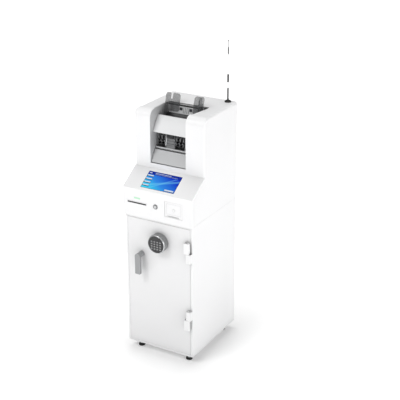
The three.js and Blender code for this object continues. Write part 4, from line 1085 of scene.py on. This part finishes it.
def make_impeller():
    """Two sets of rubber finger wheels on a steel shaft, with collars between them."""
    low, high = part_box("impeller")
    middle = (low + high) / 2
    outline = finger_outline()
    half = FINGERS["thick"] / 2
    pitch = WHEELS["pitch"]
    bm = bmesh.new()
    for centre in WHEELS["sets"]:
        for i in range(WHEELS["per_set"]):
            x = centre + (i - (WHEELS["per_set"] - 1) / 2) * pitch
            slab(bm, outline, -half, half, facing_side(x * MM, middle.y, middle.z))
    split_long_faces(bm)
    # The wheels' lighter rubber is partly their own colour and partly painted light.
    piece_from("impeller_wheels", bm, "grey_rubber_and_painted_light", "fingers", ("impeller",))
    shaft = [(0, low.x / MM), (5, low.x / MM), (5, high.x / MM), (0, high.x / MM)]
    turned_piece("impeller_shaft", shaft, (0, middle.y, middle.z), (1, 0, 0), 28, "brushed_steel", "fingers")
    collar = [(5.1, -5.5), (10, -5.5), (10.6, -4.9), (10.6, 4.9), (10, 5.5), (5.1, 5.5)]
    bm = bmesh.new()
    for centre in WHEELS["sets"]:
        for x in (centre - pitch / 2, centre + pitch / 2):
            turned_ring(bm, collar, (x * MM, middle.y, middle.z), (1, 0, 0), 32)
    piece_from("impeller_collars", bm, "dark_plastic", "fingers")


def make_roller(node):
    """Grooved rubber tyres on a steel shaft."""
    low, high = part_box(node)
    middle = (low + high) / 2
    radius = (high.z - low.z) / 2 / MM
    half = TYRES["half"]
    side, bore = radius - 0.6, 4.2
    width = (2 * half - 1.2) / TYRES["grooves"]
    profile = [(bore, -half), (side, -half)]
    for i in range(TYRES["grooves"]):
        start = -half + 0.6 + i * width
        profile += [(radius, start + 0.2), (radius, start + width - 0.9)]
        profile += [(radius - 1.1, start + width - 0.6)]
    profile += [(side, half), (bore, half)]
    bm = bmesh.new()
    for x in TYRES["at"]:
        turned_ring(bm, profile, (x * MM, middle.y, middle.z), (1, 0, 0), 48)
    piece_from(f"{node}_tyres", bm, "black_rubber", BODY_OF[node], (node,))
    shaft = [(0, low.x / MM), (4, low.x / MM), (4, high.x / MM), (0, high.x / MM)]
    bm = turned(bmesh.new(), shaft, (0, middle.y, middle.z), (1, 0, 0), 24)
    piece_from(f"{node}_shaft", bm, "brushed_steel", BODY_OF[node])


def make_hopper():
    """Leaning plate with two note sensors, ribs and a seal, a wheel in its floor and a trim behind it; the
    trim's black is partly painted shade along the rear edge of the opening.
    """
    # The hopper plate's light grey is partly its own colour and partly painted light.
    plate = refined("hopper_plate", 0.4, "plate_grey_and_painted_light")
    floor_top = HOPPER_FOOT.z - 3 * MM
    recolour(plate, "dark_plastic", lambda point: point.z < floor_top)
    plane = on_hopper()
    for side, u in (("left", -30.0), ("right", 28.0)):
        bm = slab(bmesh.new(), rounded(u - 9, u + 9, 18, 33, 3), 0.05, 1.6, plane)
        piece_from(f"hopper_sensor_{side}", bm, "dark_plastic", "root", edge=0.4)
        bm = slab(bmesh.new(), rounded(u - 4, u + 4, 22, 29, 2), 1.6, 1.9, plane)
        piece_from(f"hopper_sensor_lens_{side}", bm, "screen_black", "root")
    bm = bmesh.new()
    for u in (-16.0, -6.0, 4.0, 14.0):
        slab(bm, rounded(u, u + 3, 4, 36, 1.4, 3), 0.05, 1.2, plane)
    piece_from("hopper_ribs", bm, "counter_grey_and_painted_shade", "root", edge=0.3)
    seal = rounded(BAY_LEFT / MM + 4, BAY_RIGHT / MM - 2, 39, 47, 2)
    slab_piece("hopper_head_seal", seal, 0.05, 1.8, plane, "black_rubber", "root", edge=0.4)
    wheel_at = Vector((32 * MM, HEAD_FRONT + 104 * MM, SEAM + 478 * MM))
    wheel = [(0, -7), (11, -7), (15, -6), (16, -5), (16, 5), (15, 6), (11, 7), (0, 7)]
    turned_piece("separator_wheel", wheel, wheel_at, (1, 0, 0), 40, "black_rubber", "root")
    # Painted shade, in part: the black trim stands in for the shade along the rear edge of the top's opening.
    edge, top = HEAD_FRONT / MM + 180.6, HEAD_TOP / MM
    upright = [(edge, top - 8), (edge + 3, top - 8), (edge + 3, top + 0.05)]
    lap = [(edge + 9, top + 0.05), (edge + 9, top + 0.9), (edge, top + 1.4)]
    reach = (BAY_LEFT / MM - 1, BAY_RIGHT / MM + 27)
    bm = slab(bmesh.new(), upright + lap, *reach, facing_side(0, 0, 0))
    piece_from("hopper_edge_trim", bm, "black_rubber", "root", edge=0.4)


def make_guides():
    """Smoked note guides; the right one carries a dark rib along its front edge."""
    refined("note_guide_left", 0.5)
    refined("note_guide_right", 0.5)
    half_thick, standoff = 1.25 * MM, 4.7 * MM
    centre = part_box("note_guide_right")[1].x - half_thick
    foot = Matrix.Translation((centre, HOPPER_FOOT.y - standoff, HOPPER_FOOT.z))
    lean = foot @ Matrix.Rotation(-HOPPER_LEAN, 4, "X")
    strip = [(-51.6, 2), (-47.6, 2), (-47.6, 90), (-51.6, 86)]
    bm = slab(bmesh.new(), strip, -1.9, 1.9, lean @ facing_side(0, 0, 0))
    piece_from("guide_rib_right", bm, "dark_plastic", "guide_right", edge=0.5)


# ---- Scene ----
make_camera()
make_studio()
make_floor()
make_safe()
make_hinges()
make_feet()
make_keypad()
make_console()
make_housing()
make_counter()
